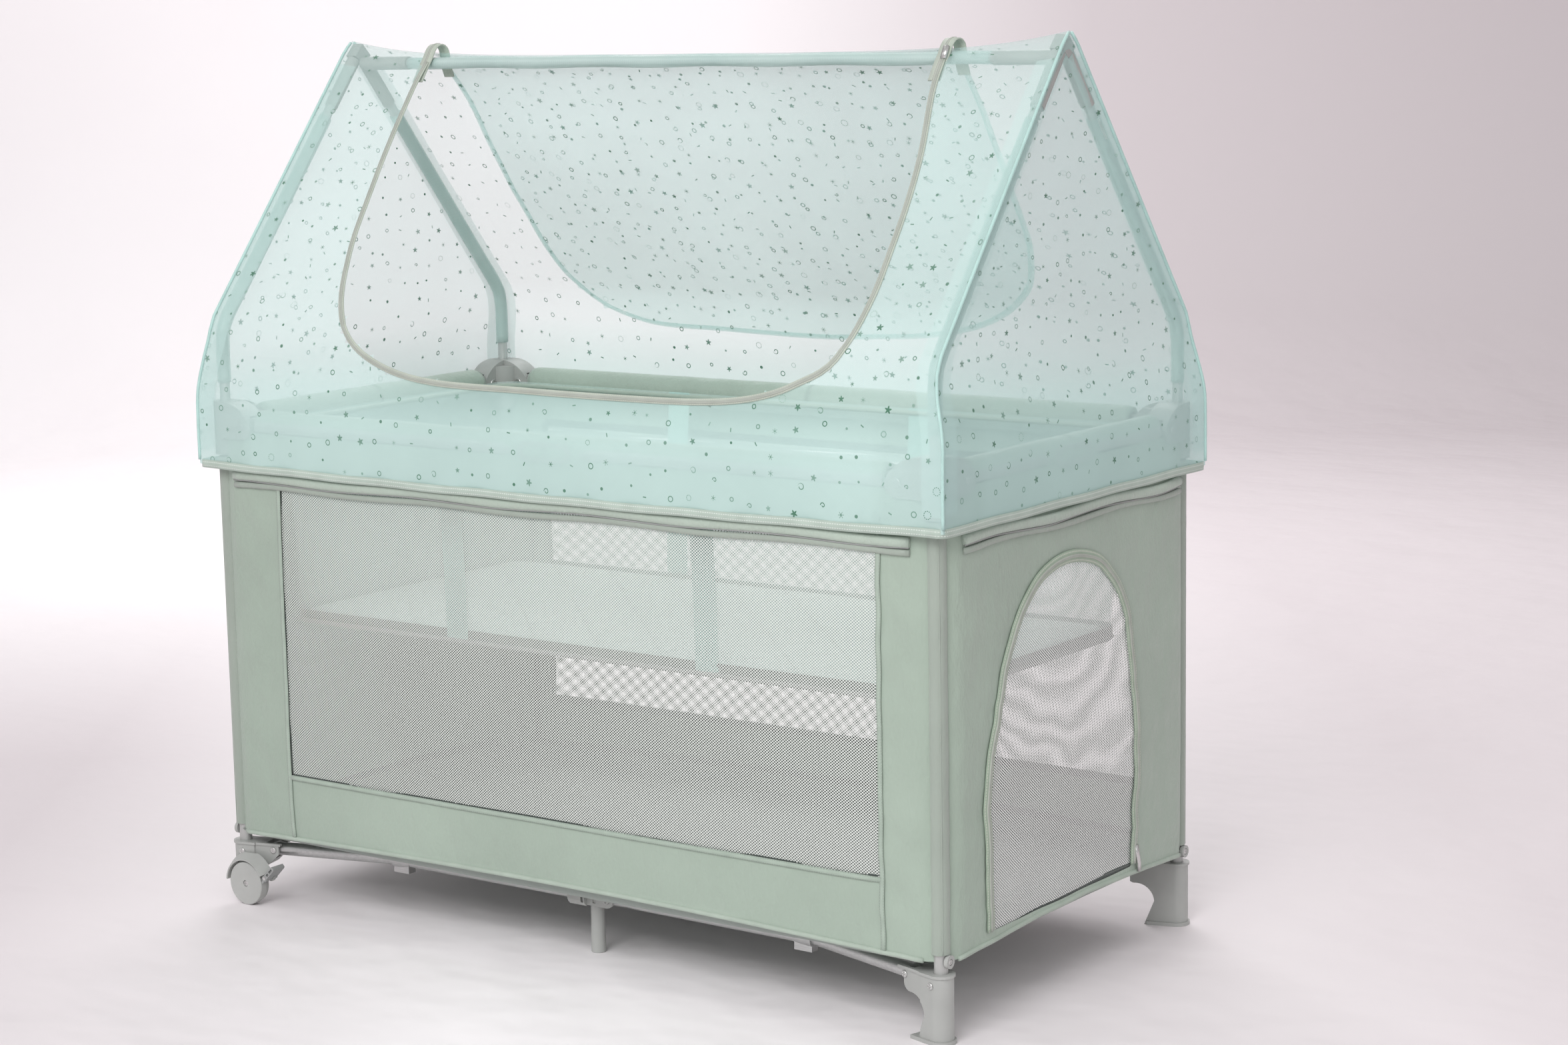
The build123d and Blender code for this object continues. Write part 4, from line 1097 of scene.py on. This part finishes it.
tub_parts.append(grid("bassinet_base_band", lambda t, z: tub_point(t, z) + tub_out(t) * 0.0016,
                      [k / 200 for k in range(201)], [BOTTOM, BOTTOM + 0.008, BOTTOM + 0.017], base_band,
                      uv=tub_uv))


def board_point(x, y):
    return Vector((x, y, BOTTOM - 0.0005 + 0.0006 * ripple(x, y, 51.0, 5.0)))


tub_parts.append(grid("bassinet_bottom", board_point, steps(-0.538, 0.538, 40), steps(-0.245, 0.245, 20),
                      floor_cloth_with_painted_shade))
for piece in tub_parts:
    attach(piece, "bassinet")
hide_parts("bassinet")


def pad(name, hx, hy, low, thick, corner, crown, material, body, node):
    """A stuffed pad with rounded corners, a crowned top and piping at mid height.

    Each ring is its share of the thickness, its share of the half width, and its share of the crown.
    """
    points, uvs, faces = [], [], []
    rings = [(0.0, 0.94, 0), (0.14, 0.985, 0), (0.5, 1.0, 0), (0.86, 0.985, 0), (1.0, 0.955, 0.1),
             (1.0, 0.80, 0.6), (1.0, 0.60, 0.85), (1.0, 0.40, 0.97), (1.0, 0.20, 1.0)]
    outline = []
    for cx, cy, start in ((1, -1, -90), (1, 1, 0), (-1, 1, 90), (-1, -1, 180)):
        for k in range(9):
            a = math.radians(start + 90 * k / 8)
            outline.append((cx * (hx - corner) + corner * math.cos(a),
                            cy * (hy - corner) + corner * math.sin(a)))
    full = []
    for a, b in zip(outline, outline[1:] + outline[:1]):
        count = max(1, int(math.hypot(b[0] - a[0], b[1] - a[1]) / 0.03))
        full += [(a[0] + (b[0] - a[0]) * k / count, a[1] + (b[1] - a[1]) * k / count) for k in range(count)]
    for height, share, up in rings:
        for x, y in full:
            inset = (1 - share) * hy
            px, py = x * (1 - inset / hx), y * share
            wrinkle = 0.0009 * ripple(px, py, 61.0, 9.0) * (1 if height > 0.8 else 0)
            z = low + height * thick + crown * up + wrinkle
            points.append((px, py, z))
            uvs.append((px, py))
    n = len(full)
    for j in range(len(rings) - 1):
        for k in range(n):
            a, b = j * n + k, j * n + (k + 1) % n
            faces.append((a, b, b + n, a + n))
    faces.append(tuple(reversed(range(n))))
    faces.append(tuple(range((len(rings) - 1) * n, len(rings) * n)))
    piece = make(name, points, faces, uvs, material)
    piping = sweep(f"{name}_piping", [(x * 1.001, y * 1.001, low + thick * 0.5) for x, y in full],
                   round_profile(0.0022, 8), binding, Vector((0, 0, 1)), closed=True)
    for made in (piece, piping):
        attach(made, body)
    if node:
        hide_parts(node)
    return piece


pad("mattress_pad", 0.533, 0.240, 0.4125, 0.0135, 0.03, 0.0025, mattress_cloth, "bassinet",
    "mattress")


# ---------------------------------------------------------------- floor

def floor_point(x, y):
    """The floor cloth lies flat and turns up at its edges to meet the walls' hems."""
    z = FLOOR_Z + 0.0012 * ripple(x, y, 71.0, 6.0)
    long_edge = max(0.0, min(1.0, (abs(y) - 0.296) / 0.0145))
    short_edge = max(0.0, min(1.0, (abs(x) - 0.596) / 0.0145))
    z = max(z, z + (hem_height(x) + 0.004 - z) * long_edge ** 2)
    return Vector((x, y, max(z, z + (HEM_Z + end_hem_rise(y) + 0.004 - z) * short_edge ** 2)))


def floor_strip(name, low, high, body):
    """One lengthwise part of the floor cloth, riding on the given body."""
    count = max(2, int((high - low) / 0.02))
    rows = steps(-0.296, 0.296, 30) + [-0.311, -0.3075, -0.304, -0.300, 0.300, 0.304, 0.3075, 0.311]
    columns = steps(low, high, count, *(x for x in (-0.604, -0.596, 0.596, 0.604) if low < x < high))
    cloth = grid(name, floor_point, columns, sorted(rows), floor_cloth_with_painted_shade,
                 keep=lambda x, y: abs(x) < 0.587 or abs(y) < 0.288)
    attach(cloth, body)
    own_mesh(cloth)
    return cloth


floor_parts = [floor_strip("floor_end_left", -0.611, -0.550, "front_left_corner"),
               floor_strip("floor_left", -0.550, -0.027, "base_tube_front_left"),
               floor_strip("floor_middle", -0.027, 0.027, "front_base_hub"),
               floor_strip("floor_right", 0.027, 0.550, "base_tube_front_right"),
               floor_strip("floor_end_right", 0.550, 0.611, "front_right_corner")]
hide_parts("playpen_floor")


# ---------------------------------------------------------------- the long walls' sheets, left as built

for cloth, window, side in ((front_cloth, front_net, "front"), (rear_cloth, rear_net, "rear")):
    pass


# ---------------------------------------------------------------- stage, light and camera

WALL_START = 4.9       # the sweep turns up here, out of the way of a look from behind


def stage_floor():
    """A pale sweep: flat floor that curves up into a backdrop, with painted shade darkening it towards the
    right and at the lower left.
    """
    profile = [(-12.0, 0.0), (WALL_START, 0.0)]
    for k in range(1, 13):
        a = math.radians(90 * k / 12)
        profile.append((WALL_START + 1.4 * math.sin(a), 1.4 * (1 - math.cos(a))))
    profile.append((WALL_START + 1.4, 8.0))
    turn = Matrix.Rotation(math.radians(35.8), 4, "Z")
    points, faces, uvs = [], [], []
    for x in (-22.0, 22.0):
        for y, z in profile:
            points.append(turn @ Vector((x, y, z)))
            uvs.append((x, y + z))
    n = len(profile)
    for k in range(n - 1):
        faces.append((k, k + n, k + n + 1, k + 1))
    m = Mat("pale backdrop", 0.85, spec=0.2)
    place = m.split(m.coords.outputs["Object"])
    along = m.add(m.mul(place[0], 0.811), m.mul(place[1], 0.585))
    away = m.sub(m.mul(place[1], 0.811), m.mul(place[0], 0.585))
    # Painted shade: the backdrop's colour is painted darker towards the right and at the lower left
    right = m.ramp(along, 0.0, 1.2)
    shade_low_left = m.mul(m.ramp(along, -1.1, -0.3, 1.0, 0.0), m.ramp(away, 1.0, 3.0, 1.0, 0.0))
    pale = m.blend(m.ramp(m.noise(0.8, 3), 0.35, 0.65), (0.935, 0.90, 0.915), (0.955, 0.925, 0.94))
    m.color(m.blend(shade_low_left, m.blend(right, pale, (0.73, 0.675, 0.695)), (0.64, 0.59, 0.61)))
    folds = m.noise(3.0, 3, rough=0.5, stretch=(1.0, 1.3, 1.0))
    folds = m.mul(folds, m.ramp(place[2], 0.05, 0.5, 1.0, 0.0))
    m.bump(folds, 0.45, 0.05)
    return make("backdrop", points, faces, uvs, m.mat)


stage_floor()


def area_light(name, place, size, power, color=(1, 1, 1), aim=(0, 0, 0.6)):
    data = bpy.data.lights.new(name, "AREA")
    data.shape = "RECTANGLE"
    data.size, data.size_y = size
    data.energy = power
    data.color = color
    light = bpy.data.objects.new(name, data)
    bpy.context.collection.objects.link(light)
    light.location = place
    light.rotation_mode = "QUATERNION"
    light.rotation_quaternion = (Vector(aim) - Vector(place)).to_track_quat("-Z", "Y")
    return light


area_light("key", (1.1, -3.7, 3.1), (2.4, 2.0), 103)
area_light("left", (-2.6, -2.6, 2.6), (2.0, 2.0), 9)
area_light("fill", (2.9, -2.9, 2.4), (2.2, 2.2), 10)
area_light("wall", (-2.4, 2.8, 3.6), (3.0, 2.0), 50, aim=(-5.2, 4.0, 1.6))
area_light("back", (-1.5, 2.9, 3.4), (3.0, 2.0), 78)
world = bpy.data.worlds.new("soft studio")
world.use_nodes = True
world.node_tree.nodes["Background"].inputs["Color"].default_value = (1.0, 0.985, 0.99, 1)
world.node_tree.nodes["Background"].inputs["Strength"].default_value = 0.62
bpy.context.scene.world = world
bpy.context.scene.view_settings.view_transform = "Standard"

camera_data = bpy.data.cameras.new("camera")
camera = bpy.data.objects.new("camera", camera_data)
bpy.context.collection.objects.link(camera)
camera_data.lens, camera_data.sensor_width = 71.05, 36.0
yaw, pitch, roll = math.radians(-35.795), math.radians(9.252), math.radians(-1.068)
forward = Vector((math.cos(pitch) * math.sin(yaw), math.cos(pitch) * math.cos(yaw), -math.sin(pitch)))
level = Vector((math.cos(yaw), -math.sin(yaw), 0))
upward = level.cross(forward)
camera_x = level * math.cos(roll) + upward * math.sin(roll)
camera_y = -level * math.sin(roll) + upward * math.cos(roll)
turn = Matrix((camera_x, camera_y, -forward)).transposed().to_4x4()
camera.matrix_world = Matrix.Translation((2.5972, -3.3836, 1.2520)) @ turn
bpy.context.scene.camera = camera
